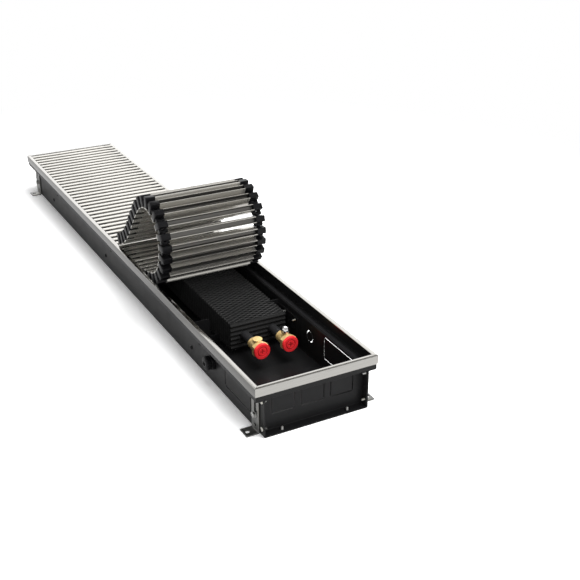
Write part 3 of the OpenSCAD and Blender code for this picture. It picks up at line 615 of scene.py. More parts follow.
def islands(node):
    """Lowest and highest corner of each separate solid of a packed node."""
    bm = bmesh.new()
    bm.from_mesh(NODES[node].data)
    bmesh.ops.remove_doubles(bm, verts=bm.verts, dist=PACKED_MERGED)
    left = set(bm.verts)
    boxes = []
    while left:
        reached = [left.pop()]
        for vert in reached:
            for edge in vert.link_edges:
                other = edge.other_vert(vert)
                if other in left:
                    left.remove(other)
                    reached.append(other)
        places = [v.co for v in reached]
        boxes.append((Vector([min(p[k] for p in places) for k in range(3)]),
                      Vector([max(p[k] for p in places) for k in range(3)])))
    bm.free()
    return sorted(boxes, key=lambda b: tuple(round(c, 5) for c in b[0]))


# Geometry Nodes


def new_tree(name, inputs):
    """An empty geometry tree with a Geometry input and named inputs, given as (name, type, default)."""
    tree = bpy.data.node_groups.new(name, "GeometryNodeTree")
    tree.interface.new_socket("Geometry", in_out="INPUT", socket_type="NodeSocketGeometry")
    for label, kind, default in inputs:
        socket = tree.interface.new_socket(label, in_out="INPUT", socket_type=kind)
        if default is not None:
            socket.default_value = default
    tree.interface.new_socket("Geometry", in_out="OUTPUT", socket_type="NodeSocketGeometry")
    return tree


def row_tree():
    """Copies of one form in a row, each turned alike and every other one turned once more."""
    found = bpy.data.node_groups.get("row_of_forms")
    if found:
        return found
    tree = new_tree("row_of_forms", [
        ("Count", "NodeSocketInt", 1), ("First", "NodeSocketVector", None),
        ("Pitch", "NodeSocketVector", None), ("Turn", "NodeSocketVector", None),
        ("Alternate", "NodeSocketFloat", 0.0), ("Material", "NodeSocketMaterial", None)])
    link = tree.links.new
    source = add_node(tree, "NodeGroupInput")
    line = add_node(tree, "GeometryNodeMeshLine", mode="OFFSET")
    link(source.outputs["Count"], line.inputs["Count"])
    link(source.outputs["First"], line.inputs["Start Location"])
    link(source.outputs["Pitch"], line.inputs["Offset"])
    parity = add_node(tree, "ShaderNodeMath", operation="MODULO")
    parity.inputs[1].default_value = 2.0
    link(add_node(tree, "GeometryNodeInputIndex").outputs[0], parity.inputs[0])
    swing = add_node(tree, "ShaderNodeMath", operation="MULTIPLY")
    link(parity.outputs[0], swing.inputs[0])
    link(source.outputs["Alternate"], swing.inputs[1])
    about_z = add_node(tree, "ShaderNodeCombineXYZ")
    link(swing.outputs[0], about_z.inputs["Z"])
    total = add_node(tree, "ShaderNodeVectorMath", operation="ADD")
    link(source.outputs["Turn"], total.inputs[0])
    link(about_z.outputs[0], total.inputs[1])
    place = add_node(tree, "GeometryNodeInstanceOnPoints")
    link(line.outputs["Mesh"], place.inputs["Points"])
    link(source.outputs["Geometry"], place.inputs["Instance"])
    link(total.outputs[0], place.inputs["Rotation"])
    close_tree(tree, source, place)
    return tree


def places_tree():
    """Copies of one form on the object's own points, each turned by the point's aim."""
    found = bpy.data.node_groups.get("forms_on_places")
    if found:
        return found
    tree = new_tree("forms_on_places", [
        ("Form", "NodeSocketObject", None), ("Material", "NodeSocketMaterial", None)])
    link = tree.links.new
    source = add_node(tree, "NodeGroupInput")
    form = add_node(tree, "GeometryNodeObjectInfo")
    link(source.outputs["Form"], form.inputs["Object"])
    aim = preset(add_node(tree, "GeometryNodeInputNamedAttribute", data_type="FLOAT_VECTOR"), Name="aim")
    turn = add_node(tree, "FunctionNodeAlignRotationToVector", axis="Z")
    link(aim.outputs["Attribute"], turn.inputs["Vector"])
    place = add_node(tree, "GeometryNodeInstanceOnPoints")
    link(source.outputs["Geometry"], place.inputs["Points"])
    link(form.outputs["Geometry"], place.inputs["Instance"])
    link(turn.outputs["Rotation"], place.inputs["Rotation"])
    close_tree(tree, source, place)
    return tree


def close_tree(tree, source, place):
    """Ends a tree in Realize Instances and Set Material."""
    link = tree.links.new
    real = add_node(tree, "GeometryNodeRealizeInstances")
    paint = add_node(tree, "GeometryNodeSetMaterial")
    output = add_node(tree, "NodeGroupOutput")
    link(place.outputs["Instances"], real.inputs["Geometry"])
    link(real.outputs["Geometry"], paint.inputs["Geometry"])
    link(source.outputs["Material"], paint.inputs["Material"])
    link(paint.outputs["Geometry"], output.inputs["Geometry"])


def grown(mesh, tree, values, name):
    """The plain mesh that a geometry tree makes of a mesh, with values by the names of its inputs."""
    holder = scene_object("grown", mesh)
    modifier = holder.modifiers.new("tree", "NODES")
    modifier.node_group = tree
    for item in tree.interface.items_tree:
        if item.item_type == "SOCKET" and item.in_out == "INPUT" and item.name in values:
            modifier[item.identifier] = values[item.name]
    return settled(holder, name)


def row_of(mesh, total, first, pitch, finish, name, turn=(0.0, 0.0, 0.0), alternate=0.0):
    """A form repeated in a row."""
    return grown(mesh, row_tree(), {
        "Count": total, "First": tuple(first), "Pitch": tuple(pitch), "Turn": tuple(turn),
        "Alternate": alternate, "Material": material(finish)}, name)


def copies_at(form, places, finish, name):
    """A form repeated at places, given as (place, aim of the form's +Z)."""
    points = bpy.data.meshes.new("places")
    points.from_pydata([tuple(p) for p, _ in places], [], [])
    aims = points.attributes.new("aim", "FLOAT_VECTOR", "POINT")
    aims.data.foreach_set("vector", [c for _, aim in places for c in aim])
    helper = scene_object("form", form)
    mesh = grown(points, places_tree(), {"Form": helper, "Material": material(finish)}, name)
    bpy.data.objects.remove(helper)
    return mesh


# The frame


def frame_side(along_y, side):
    """One angle profile of the frame, mitred at both ends."""
    sizes = bpy.context.scene.heater_frame
    low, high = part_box("frame_left")
    reach = Vector((-low.x, high.y))
    lip, face, top = high.x - low.x, high.z - low.z, high.z
    wall, edge = sizes.thickness, sizes.edge
    corners = [(0.0, top), (0.0, top - face), (wall, top - face),
               (wall, top - wall), (lip, top - wall), (lip, top)]
    outline = rounded(corners, [edge] + 5 * [edge / 2])
    across, along = (reach.x, reach.y) if along_y else (reach.y, reach.x)
    cut = sizes.mitre_gap / math.sqrt(2)
    rings = []
    for end in (-1, 1):
        ring = []
        for inset, z in outline:
            a, b = side * (across - inset), end * (along - inset - cut)
            ring.append((a, b, z) if along_y else (b, a, z))
        rings.append(ring)
    return softened(skin(rings, "frame_side"), edge / 4, angle=50)


def paint_flank_shade(profile, side):
    """Gives the outer face of a long profile a darker copy of its aluminium: painted shade for the dark reflection
    that this face shows.
    """
    profile.data.materials.append(material("frame_flank"))
    for polygon in profile.data.polygons:
        if polygon.normal.x * side > SQUARE_ON:
            polygon.material_index = 1


class HEATER_OT_frame(bpy.types.Operator):
    """Build the four mitred profiles of the edge frame"""
    bl_idname = "heater.frame"
    bl_label = "Edge Frame"

    def execute(self, context):
        for node, along_y, side in (("frame_left", True, -1), ("frame_right", True, 1),
                                    ("frame_front", False, -1), ("frame_rear", False, 1)):
            finish = "frame_long" if along_y else "frame_short"
            made = piece(node + "_profile", frame_side(along_y, side), finish, "root", [node])
            # Painted shade: the outer faces of the long profiles get the darker copy of the aluminium
            if along_y:
                paint_flank_shade(made, side)
        return {"FINISHED"}


# The grille


def slat_heights():
    """Top and bottom of a slat, measured from its hinge line."""
    top = GRILLE_HIGH.z - FIRST_HINGE.z
    return top, top - bpy.context.scene.heater_grille.slat_height


def flat_row():
    """Number of flat slats, and the middle of the first one."""
    total = round((GRILLE_HIGH.y - FIRST_HINGE.y) / PITCH)
    return total, Vector((0, FIRST_HINGE.y + PITCH / 2, FIRST_HINGE.z))


def slat_form():
    """One slat along X with its hinge line at height zero: hollow, with a groove underneath."""
    sizes = bpy.context.scene.heater_grille
    top, bottom = slat_heights()
    half = sizes.slat_width / 2
    inner = half - sizes.leg_thickness
    web = bottom + sizes.groove
    edge = sizes.edge
    corners = [(-half, bottom), (-inner, bottom), (-inner, web), (inner, web),
               (inner, bottom), (half, bottom), (half, top), (-half, top)]
    radii = [edge / 2, edge / 2, edge, edge, edge / 2, edge / 2, edge, edge]
    chamber = [(-inner, web + sizes.leg_thickness), (inner, web + sizes.leg_thickness),
               (inner, top - sizes.top_thickness), (-inner, top - sizes.top_thickness)]
    reach = GRILLE_HIGH.x - sizes.link_length - sizes.link_gap
    body = pierced_prism(rounded(corners, radii, 2), [rounded(chamber, edge, 2)], -reach, reach, "x", "slat")
    under = top - sizes.top_thickness
    cover = [(-half, under), (half, under), (half, top), (-half, top)]
    tips = []
    for side in (-1, 1):
        start, end = sorted((side * (reach - edge), side * GRILLE_HIGH.x))
        tips.append(prism(rounded(cover, [0, 0, edge, edge], 2), start, end, "x", "slat"))
    return combined(body, tips, "UNION")


def link_form(has_fork, has_barrel):
    """The plastic end link at the slat's left end: fork and pin to the rear, barrel to the front."""
    sizes = bpy.context.scene.heater_grille
    half_pitch = PITCH / 2
    crest, bottom = slat_heights()
    top = crest - sizes.top_thickness - sizes.link_gap
    gap, knuckle, chamfer = sizes.knuckle_gap, sizes.knuckle_radius, sizes.link_chamfer
    cheek = (sizes.link_length - sizes.knuckle_inset - 2 * gap) / 3
    barrel = sizes.knuckle_inset + cheek + gap
    width = sizes.link_width / 2

    def rod(radius, x, reach, y):
        """A round bar along X."""
        ring = [(y + a, b) for a, b in circle(radius, 24)]
        return prism(ring, x, x + reach, "x", "rod")

    def knuckle_at(x, y):
        """A knuckle with the neck that joins it to the link."""
        near, far = sorted((y, math.copysign(width - chamfer, y)))
        neck = block((x, near, -knuckle), (x + cheek, far, knuckle), "neck")
        return combined(rod(knuckle, x, cheek, y), [neck], "UNION")

    body = softened(block((0, -width, bottom), (sizes.link_length, width, top), "link"), chamfer)
    adds = []
    if has_fork:
        adds += [knuckle_at(x, half_pitch) for x in (sizes.knuckle_inset, sizes.link_length - cheek)]
        adds.append(rod(sizes.pin_radius, barrel - 2 * gap, cheek + 4 * gap, half_pitch))
    if has_barrel:
        adds.append(knuckle_at(barrel, -half_pitch))
    body = combined(body, adds, "UNION")
    if has_barrel:
        bore = rod(sizes.bore_radius, barrel - gap, cheek + 2 * gap, -half_pitch)
        body = combined(body, [bore], "DIFFERENCE")
    body = softened(body, chamfer / 3, angle=40)
    left = shifted(body, (GRILLE_LOW.x, 0, 0))
    return merged([left, mirrored(left)], "links")


def slat_places():
    """Body, middle and turn about X of each slat of the roll."""
    couplings = frame["record"]["behaviour"]["couplings"]
    joints = {j["child"]: j for j in frame["joints"]}
    limits = {j["name"]: max(j["range_deg"], key=abs) for j in frame["joints"] if "range_deg" in j}
    turns = {c["joint"]: c["ratio"] * limits[c["follows"]] for c in couplings}
    heading = 0.0
    places = []
    for body, place in HINGES:
        name = joints[body]["name"]
        heading += math.radians(turns.get(name, limits[name]))
        ahead = Vector((0, -math.cos(heading), math.sin(heading)))
        places.append((body, place + ahead * PITCH / 2, -heading))
    return places


def paint_groove_shade(slat, place, turn):
    """Gives the groove under a slat a darker copy of the slats' aluminium: painted shade in the recess."""
    sizes = bpy.context.scene.heater_grille
    bottom = slat_heights()[1]
    side = sizes.slat_width / 2 - sizes.leg_thickness + SEAT
    web = bottom + sizes.groove + SEAT
    slat.data.materials.append(material("slat_groove"))
    back = Matrix.Rotation(-turn, 3, "X")
    for polygon in slat.data.polygons:
        spot = back @ (polygon.center - place)
        if abs(spot.y) < side and bottom + sizes.edge < spot.z < web:
            polygon.material_index = 1


class HEATER_OT_slats(bpy.types.Operator):
    """Build the flat slats in one row and each slat of the roll on its own body"""
    bl_idname = "heater.slats"
    bl_label = "Slats"

    def execute(self, context):
        form = slat_form()
        total, first = flat_row()
        row = row_of(form, total, first, (0, PITCH, 0), "slat_aluminium", "slats")
        piece("flat_slats", row, "slat_aluminium", "grille", ["grille_slats_flat"])
        for body, place, turn in slat_places():
            one = row_of(form, 1, place, (0, 0, 0), "slat_aluminium", "slats", (turn, 0, 0))
            # The groove under each rolled slat gets painted shade
            paint_groove_shade(piece(body + "_bar", one, "slat_aluminium", body, [body]), place, turn)
        return {"FINISHED"}


class HEATER_OT_links(bpy.types.Operator):
    """Build the plastic links at both ends of every slat"""
    bl_idname = "heater.links"
    bl_label = "End Links"

    def execute(self, context):
        whole = link_form(True, True)
        total, first = flat_row()
        row = row_of(whole, total - 1, first, (0, PITCH, 0), "link_black", "links")
        rear = shifted(link_form(False, True), first + Vector((0, (total - 1) * PITCH, 0)))
        piece("flat_links", merged([row, rear], "links"), "link_black", "grille", ["grille_links_flat"])
        places = slat_places()
        for body, place, turn in places:
            form = whole if body != places[-1][0] else link_form(True, False)
            one = row_of(form, 1, place, (0, 0, 0), "link_black", "links", (turn, 0, 0))
            piece(body + "_links", one, "link_black", body)
        return {"FINISHED"}


# The heat exchanger


def tube_holes():
    """Cylinders along Y where the two tubes pass, about the exchanger's middle."""
    radius = node_size("supply_tube").x / 2 + PLAY
    reach = PLATE_HIGH.x - PLATE_LOW.x
    middle = (PLATE_LOW.x + PLATE_HIGH.x) / 2
    holes = []
    for node in ("supply_tube", "return_tube"):
        low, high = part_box(node)
        x, z = (low.x + high.x) / 2, (low.z + high.z) / 2
        hole = prism(circle(radius, 32), -reach, reach, "y", "hole")
        holes.append(shifted(hole, (x - middle, 0, z)))
    return holes


def fin_form():
    """One wavy fin about the exchanger's middle, with a folded edge along its top."""
    sizes = bpy.context.scene.heater_exchanger
    width = PLATE_HIGH.x - PLATE_LOW.x
    bottom, top = PLATE_LOW.z, PLATE_HIGH.z
    half_wave = width / sizes.half_waves
    flat = half_wave / 8
    path = [(-width / 2, sizes.wave)]
    for i in range(1, sizes.half_waves):
        y = sizes.wave if i % 2 == 0 else -sizes.wave
        middle = -width / 2 + i * half_wave
        path += [(middle - flat, y), (middle + flat, y)]
    path.append((width / 2, sizes.wave if sizes.half_waves % 2 == 0 else -sizes.wave))
    thin, thick = sizes.fin_thickness / 2, sizes.hem_thickness / 2
    step = top - sizes.hem_height
    profile = [(-thin, bottom), (-thin, step - thick), (-thick, step), (-thick, top),
               (thick, top), (thick, step), (thin, step - thick), (thin, bottom)]
    rings = [[(x, y + offset, z) for offset, z in profile] for x, y in path]
    return combined(skin(rings, "fin"), tube_holes(), "DIFFERENCE")


def ridged_plate(low, high, side):
    """An exchanger end plate with level ridges, bored for the two tubes."""
    sizes = bpy.context.scene.heater_exchanger
    steps = 12 * sizes.ridges
    middle = (low.y + high.y) / 2
    front, back = [], []
    for i in range(steps + 1):
        z = low.z + (high.z - low.z) * i / steps
        y = middle + side * sizes.plate_wave * math.cos(FULL_TURN * sizes.ridges * i / steps)
        front.append((y - sizes.plate_thickness / 2, z))
        back.append((y + sizes.plate_thickness / 2, z))
    plate = prism(front + back[::-1], low.x, high.x, "x", "ridged_plate")
    centre = (low.x + high.x) / 2
    holes = [shifted(hole, (centre, middle, 0)) for hole in tube_holes()]
    return combined(plate, holes, "DIFFERENCE")


def hollow_tube(node):
    """A straight tube, drawn from the packed tube's box."""
    wall = bpy.context.scene.heater_exchanger.tube_wall
    low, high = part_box(node)
    radius = (high.x - low.x) / 2
    edge = wall / 4
    profile = [(radius - edge, low.y), (radius, low.y + edge), (radius, high.y - edge),
               (radius - edge, high.y), (radius - wall, high.y), (radius - wall, low.y)]
    tube = revolved(profile, 48, "y", "tube", True)
    return shifted(tube, ((low.x + high.x) / 2, 0, (low.z + high.z) / 2))


def bend_form():
    """The half ring of tube that joins the two tubes at the rear."""
    wall = bpy.context.scene.heater_exchanger.tube_wall
    low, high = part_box("return_bend")
    radius = (high.z - low.z) / 2
    pitch = (high.x - low.x) / 2 - radius
    centre = Vector(((low.x + high.x) / 2, low.y, (low.z + high.z) / 2))
    shells = []
    steps = 32
    for r in (radius, radius - wall):
        rings = []
        for i in range(steps + 1):
            t = math.pi * i / steps
            rings.append([centre + Vector(((pitch + a) * math.cos(t), (pitch + a) * math.sin(t), b))
                          for a, b in circle(r, steps)])
        shells.append(skin(rings, "bend"))
    return combined(shells[0], [shells[1]], "DIFFERENCE")


class HEATER_OT_exchanger(bpy.types.Operator):
    """Build the fins, the ridged end plates, the tubes and the return bend"""
    bl_idname = "heater.exchanger"
    bl_label = "Heat Exchanger"

    def execute(self, context):
        sizes = context.scene.heater_exchanger
        room = REAR_PLATE_LOW.y - PLATE_HIGH.y - 2 * sizes.wave - sizes.hem_thickness
        total = int(room / sizes.fin_pitch) + 1
        middle_y = (REAR_PLATE_LOW.y + PLATE_HIGH.y) / 2
        first = ((PLATE_LOW.x + PLATE_HIGH.x) / 2, middle_y - (total - 1) * sizes.fin_pitch / 2, 0)
        fins = row_of(fin_form(), total, first, (0, sizes.fin_pitch, 0), "fin_black", "fins",
                      alternate=math.pi)
        piece("wavy_fins", fins, "fin_black", "root", ["exchanger_fins"])
        piece("front_ridged_plate", ridged_plate(PLATE_LOW, PLATE_HIGH, 1), "plate_black", "root",
              ["exchanger_front_plate"])
        piece("rear_ridged_plate", ridged_plate(REAR_PLATE_LOW, REAR_PLATE_HIGH, -1), "plate_black", "root",
              ["exchanger_rear_plate"])
        for node in ("supply_tube", "return_tube"):
            piece(node + "_pipe", hollow_tube(node), "tube_black", "root", [node])
        piece("return_bend_pipe", bend_form(), "tube_copper", "root", ["return_bend"])
        return {"FINISHED"}


# The water fittings


def chamfered_hexagon(across_flats, start, end, axis, turn=0.0):
    """A hexagon between two heights whose corners are turned down at both ends."""
    corner = across_flats / math.sqrt(3)
    solid = prism(circle(corner, 6, turn), start, end, axis, "hexagon")
    past_corners, within_flats, slope = 1.01, 0.985, math.radians(30)
    outer, flat = corner * past_corners, across_flats / 2 * within_flats
    drop = (outer - flat) * math.tan(slope)
    profile = [(0, start), (flat, start), (outer, start + drop),
               (outer, end - drop), (flat, end), (0, end)]
    return combined(solid, [revolved(profile, 48, axis, "cone")], "INTERSECT")


def hexagon_in(size):
    """Width across flats and turn of the hexagon along X that fills a box."""
    return min(size.y, size.z), 0.0 if size.y > size.z else math.pi / 2


def thread_profile(radius, start, end, pitch):
    """Points down a thread from start to end, as ridges of nearly half its pitch deep."""
    turns = max(1, round(abs(end - start) / pitch))
    step = (end - start) / turns
    depth_share = 0.45
    depth = abs(step) * depth_share
    points = []
    for i in range(turns):
        points += [(radius - depth, start + i * step), (radius, start + (i + 0.5) * step)]
    points.append((radius - depth, end))
    return points


def fitting_form(node, tube_node):
    """A brass fitting in one piece: collar, round body, hexagon, thread and the boss on top."""
    sizes = bpy.context.scene.heater_fittings
    low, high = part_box(node)
    tube_low, tube_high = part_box(tube_node)
    x, z = (tube_low.x + tube_high.x) / 2, (tube_low.z + tube_high.z) / 2
    tube_radius = (tube_high.x - tube_low.x) / 2
    rear, front = high.y, low.y
    collar_front = rear - sizes.collar_length
    hex_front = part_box(node.replace("_fitting", "_cap"))[1].y + SEAT
    hex_rear = hex_front + sizes.hexagon_length
    collar, round_body = sizes.collar_radius, sizes.body_radius
    lip, fillet = 0.7 * MM, 0.8 * MM
    mouth = tube_radius + 0.4 * MM
    neck = sizes.thread_radius - 1.2 * MM
    profile = [(0, rear), (mouth, rear), (collar + lip, rear - lip),
               (collar + lip, rear - 3 * lip), (collar, rear - 4 * lip),
               (collar, collar_front + fillet), (collar + fillet / 3, collar_front),
               (round_body - fillet, collar_front - fillet / 4), (round_body, collar_front - fillet),
               (round_body, hex_rear - fillet), (round_body - fillet, hex_rear),
               (neck, hex_rear - fillet), (neck, hex_front)]
    profile += thread_profile(sizes.thread_radius, hex_front - lip, front, sizes.thread_pitch)
    profile.append((0, front))
    body = revolved(profile, 64, "y", "fitting")
    nut = chamfered_hexagon(sizes.hexagon, hex_front, hex_rear, "y")
    boss_radius, boss_foot, boss_top = sizes.boss_radius, round_body / 2, high.z - z
    boss_profile = [(0, boss_foot), (boss_radius, boss_foot), (boss_radius, boss_top - fillet / 2),
                    (boss_radius - fillet / 2, boss_top), (0, boss_top)]
    boss = shifted(revolved(boss_profile, 40, "z", "boss"), (0, boss_centre(node), 0))
    body = combined(body, [nut, boss], "UNION")
    wall = bpy.context.scene.heater_exchanger.tube_wall
    past = 5 * MM
    bore = prism(circle(tube_radius - wall, 40), front - past, rear + past, "y", "bore")
    seat = prism(circle(tube_radius + PLAY, 40), tube_low.y - SEAT, rear + past, "y", "seat")
    body = combined(body, [bore, seat], "DIFFERENCE")
    return shifted(softened(body, 0.18 * MM, angle=40), (x, 0, z))


def boss_centre(node):
    """Place along Y of the boss on a fitting, from the piece that stands on it."""
    top = "drain_plug" if node.startswith("supply") else "air_vent_knob"
    low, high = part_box(top)
    return (low.y + high.y) / 2


def cap_form(node, tube_node):
    """A red cap: a turned cup with a ring and a cross sunk into its face."""
    sizes = bpy.context.scene.heater_fittings
    low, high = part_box(node)
    tube_low, tube_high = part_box(tube_node)
    x, z = (tube_low.x + tube_high.x) / 2, (tube_low.z + tube_high.z) / 2
    radius = (high.x - low.x) / 2
    face, rim = low.y, high.y
    ring, width, deep = sizes.ring_radius, sizes.ring_width, sizes.mark_depth
    edge, soft, inner = 1.0 * MM, 0.2 * MM, sizes.thread_radius + SEAT
    floor = face + 1.6 * MM
    profile = [(0, face), (ring - width - soft, face), (ring - width, face + soft),
               (ring - width, face + deep), (ring, face + deep), (ring, face + soft),
               (ring + soft, face), (radius - edge, face)]
    steps = 5
    for i in range(1, steps + 1):
        t = math.radians(90) * i / steps
        profile.append((radius - edge + edge * math.sin(t), face + edge - edge * math.cos(t)))
    profile += [(radius, rim - soft), (radius - soft, rim), (inner + soft, rim), (inner, rim - soft),
                (inner, floor), (0, floor)]
    cup = revolved(profile, 72, "y", "cap")
    arm, half = sizes.cross_length / 2, sizes.cross_width / 2
    marks = [block((-a, face - deep, -b), (a, face + deep, b)) for a, b in ((arm, half), (half, arm))]
    cross = combined(marks[0], [marks[1]], "UNION")
    cup = combined(cup, [cross], "DIFFERENCE")
    return shifted(softened(cup, 0.15 * MM, angle=50), (x, 0, z))


def paint_mark_shade(cap):
    """Gives the floors of the ring and cross in a cap's face a darker red: painted shade in these recesses."""
    sizes = bpy.context.scene.heater_fittings
    floor = min(v.co.y for v in cap.data.vertices) + sizes.mark_depth
    cap.data.materials.append(material("cap_mark"))
    for polygon in cap.data.polygons:
        if abs(polygon.center.y - floor) < SEAT and abs(polygon.normal.y) > SQUARE_ON:
            polygon.material_index = 1


def plug_form():
    """The drain plug: a low turned head that sits on its fitting, and a stem."""
    low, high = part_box("drain_plug")
    radius = (high.x - low.x) / 2
    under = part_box("supply_fitting")[1].z + SEAT
    soft, stem = 0.5 * MM, 3 * MM
    profile = [(0, low.z), (stem - soft, low.z), (stem, low.z + soft), (stem, under),
               (radius - soft, under), (radius, under + soft), (radius, high.z - soft),
               (radius - soft, high.z - soft / 4), (radius - 3 * soft, high.z), (0, high.z)]
    plug = revolved(profile, 56, "z", "plug")
    return shifted(plug, ((low.x + high.x) / 2, (low.y + high.y) / 2, 0))


def knob_form():
    """The air vent's knob: a faceted body drawn in towards its domed top, on a round stem."""
    sizes = bpy.context.scene.heater_fittings
    low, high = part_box("air_vent_knob")
    within_box = 0.99
    radius = (high.x - low.x) / 2 * within_box
    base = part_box("return_fitting")[1].z + SEAT
    tall = high.z - base
    stem = 4 * MM
    shares = [(0.84, 0.0), (1.0, 0.14), (0.99, 0.42), (0.84, 0.72), (0.58, 0.93), (0.34, 1.0)]
    facets = sizes.knob_facets
    rings = [[(radius * share * math.cos(t), radius * share * math.sin(t), base + tall * height)
              for t in [FULL_TURN * (i + 0.5 * (k % 2)) / facets for i in range(facets)]]
             for k, (share, height) in enumerate(shares)]
    crown = softened(skin(rings, "knob"), 0.25 * MM, angle=15)
    shaft = prism(circle(stem, 32), low.z, base + 1 * MM, "z", "stem")
    knob = combined(crown, [shaft], "UNION")
    return shifted(knob, ((low.x + high.x) / 2, (low.y + high.y) / 2, 0))


class HEATER_OT_fittings(bpy.types.Operator):
    """Build the brass fittings, the red caps, the drain plug and the air vent"""
    bl_idname = "heater.fittings"
    bl_label = "Water Fittings"

    def execute(self, context):
        for side in ("supply", "return"):
            piece(side + "_brass", fitting_form(side + "_fitting", side + "_tube"), "fitting_brass", "root",
                  [side + "_fitting"])
            paint_mark_shade(piece(side + "_red_cap", cap_form(side + "_cap", side + "_tube"), "cap_red",
                               side + "_cap", [side + "_cap"]))
        piece("drain_screw", plug_form(), "plug_brass", "drain_plug", ["drain_plug"])
        piece("vent_knob", knob_form(), "vent_chrome", "air_vent_knob", ["air_vent_knob"], angle=12.0)
        return {"FINISHED"}


# The cable gland


class HEATER_OT_gland(bpy.types.Operator):
    """Build the cable gland: body, ribbed cap nut and lock nut"""
    bl_idname = "heater.gland"
    bl_label = "Cable Gland"

    def execute(self, context):
        nut_low, nut_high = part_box("gland_cap_nut")
        middle = Vector((0, (nut_low.y + nut_high.y) / 2, (nut_low.z + nut_high.z) / 2))
        bore, thread = 3.5 * MM, 10 * MM
        low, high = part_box("gland_body")
        past = 20 * MM
        rod = prism(circle(bore, 32), low.x - past, high.x + past, "x", "bore")
        across, turn = hexagon_in(high - low)
        pieces = (("gland_thread", self.body(low, high, across, turn, thread, rod), "root", "gland_body"),
                  ("gland_nut", self.cap_nut(nut_low, nut_high, bore, rod), "gland_cap_nut", "gland_cap_nut"),
                  ("gland_counter_nut", self.lock_nut(turn, thread), "root", "gland_lock_nut"))
        for name, form, owner, node in pieces:
            piece(name, shifted(form, middle), "gland_black", owner, [node])
        return {"FINISHED"}

    def body(self, low, high, across, turn, thread, rod):
        """The hexagon outside the wall and the threaded shank through it, with the cable's bore."""
        lap = 1 * MM
        head_length, pitch = 5 * MM, 1.5 * MM
        hex_inner = low.x + head_length
        head = chamfered_hexagon(across, low.x, hex_inner, "x", turn)
        profile = [(0, hex_inner - lap), (thread - lap, hex_inner - lap)]
        profile += thread_profile(thread, hex_inner, high.x, pitch)
        profile.append((0, high.x))
        form = combined(head, [revolved(profile, 48, "x", "shank")], "UNION")
        return combined(form, [rod], "DIFFERENCE")

    def cap_nut(self, low, high, bore, rod):
        """The domed nut outside, with notches all round for the grip."""
        radius = (high.z - low.z) / 2
        dome = (high.x - low.x) / 2.6
        soft, mouth = 0.4 * MM, bore + 1.5 * MM
        profile = [(0, high.x), (radius - soft, high.x), (radius, high.x - soft)]
        steps = 6
        for i in range(steps + 1):
            t = math.radians(90) * i / steps
            profile.append((mouth + (radius - mouth) * math.cos(t), low.x + dome - dome * math.sin(t)))
        profile += [(bore + 1 * MM, low.x), (0, low.x)]
        nut = revolved(profile, 64, "x", "nut")
        notch, notches, past = 1.1 * MM, 16, 1 * MM
        cuts = [prism([(a + p, b + q) for p, q in circle(notch, 12)], low.x - past, high.x + past, "x")
                for a, b in circle(radius + notch * 0.35, notches)]
        return combined(nut, [merged(cuts, "notches"), rod], "DIFFERENCE")

    def lock_nut(self, turn, thread):
        """The hexagon nut inside the wall."""
        low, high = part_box("gland_lock_nut")
        past = 1 * MM
        nut = chamfered_hexagon(min(high.y - low.y, high.z - low.z), low.x, high.x, "x", turn)
        hole = prism(circle(thread + PLAY, 48), low.x - past, high.x + past, "x", "hole")
        return combined(nut, [hole], "DIFFERENCE")


# Feet, bolts and screws

# Height of a pan head, radius of a screw's shank and thickness of the sheet that it holds
SCREW_HEAD = 2 * MM
SCREW_SHANK = 2 * MM
SHEET = 1 * MM


def clean_copy(node, width):
    """A copy of a packed node with its flat faces joined and its edges rounded."""
    bm = bmesh.new()
    bm.from_mesh(NODES[node].data)
    bmesh.ops.remove_doubles(bm, verts=bm.verts, dist=PACKED_MERGED)
    bmesh.ops.dissolve_limit(bm, angle_limit=math.radians(0.5), verts=bm.verts, edges=bm.edges)
    return softened(mesh_of(bm, node), width, segments=2, angle=40)


class HEATER_OT_feet(bpy.types.Operator):
    """Build the four levelling feet with softened edges"""
    bl_idname = "heater.feet"
    bl_label = "Levelling Feet"

    def execute(self, context):
        for side in ("front_left", "front_right", "rear_left", "rear_right"):
            node = side + "_foot"
            # The feet take the darker copy of the zinc: painted shade for the dark trough they reflect
            piece(node + "_angle", clean_copy(node, 0.25 * MM), "foot_zinc", node, [node])
        return {"FINISHED"}


def screw_head_form(radius):
    """A pan head below the origin, with a cross recess."""
    shares = [(0, 1), (0.45, 1), (0.78, 0.86), (0.95, 0.55), (1, 0.2), (1, 0), (0, 0)]
    profile = [(radius * across, -SCREW_HEAD * down) for across, down in shares]
    arm, half, deep, past = radius * 0.5, 0.35 * MM, 1.1 * MM, 1 * MM
    cross = [block((-a, -b, -SCREW_HEAD - past), (a, b, -SCREW_HEAD + deep))
             for a, b in ((arm, half), (half, arm))]
    return combined(revolved(profile, 24, "z", "head"), cross, "DIFFERENCE")


def shank_form(start, reach):
    """A screw's threaded shank along +Z."""
    profile = [(0, start), (SCREW_SHANK, start)]
    tip_length, tip_share, pitch = 0.6 * MM, 0.6, 0.7 * MM
    profile += thread_profile(SCREW_SHANK, start + SEAT, reach - tip_length, pitch)
    profile += [(SCREW_SHANK * tip_share, reach), (0, reach)]
    return revolved(profile, 24, "z", "shank")


def flush_head_form(radius):
    """A countersunk head with its flat face at the origin."""
    rim = 0.1 * MM
    profile = [(0, 0), (radius, 0), (radius, rim), (SCREW_SHANK, SHEET), (0, SHEET)]
    return revolved(profile, 24, "z", "head")


def screw_places(node, along):
    """Head face and aim of each screw of a node whose longest side runs along an axis."""
    places = []
    for low, high in islands(node):
        size = high - low
        if max(range(3), key=lambda k: size[k]) != along:
            continue
        middle = (low + high) / 2
        outer = -1 if middle[along] < 0 or along == 2 else 1
        head = low[along] if outer < 0 else high[along]
        aim = [0.0, 0.0, 0.0]
        aim[along] = float(-outer)
        place = list(middle)
        place[along] = head
        places.append((Vector(place), Vector(aim), size))
    return places


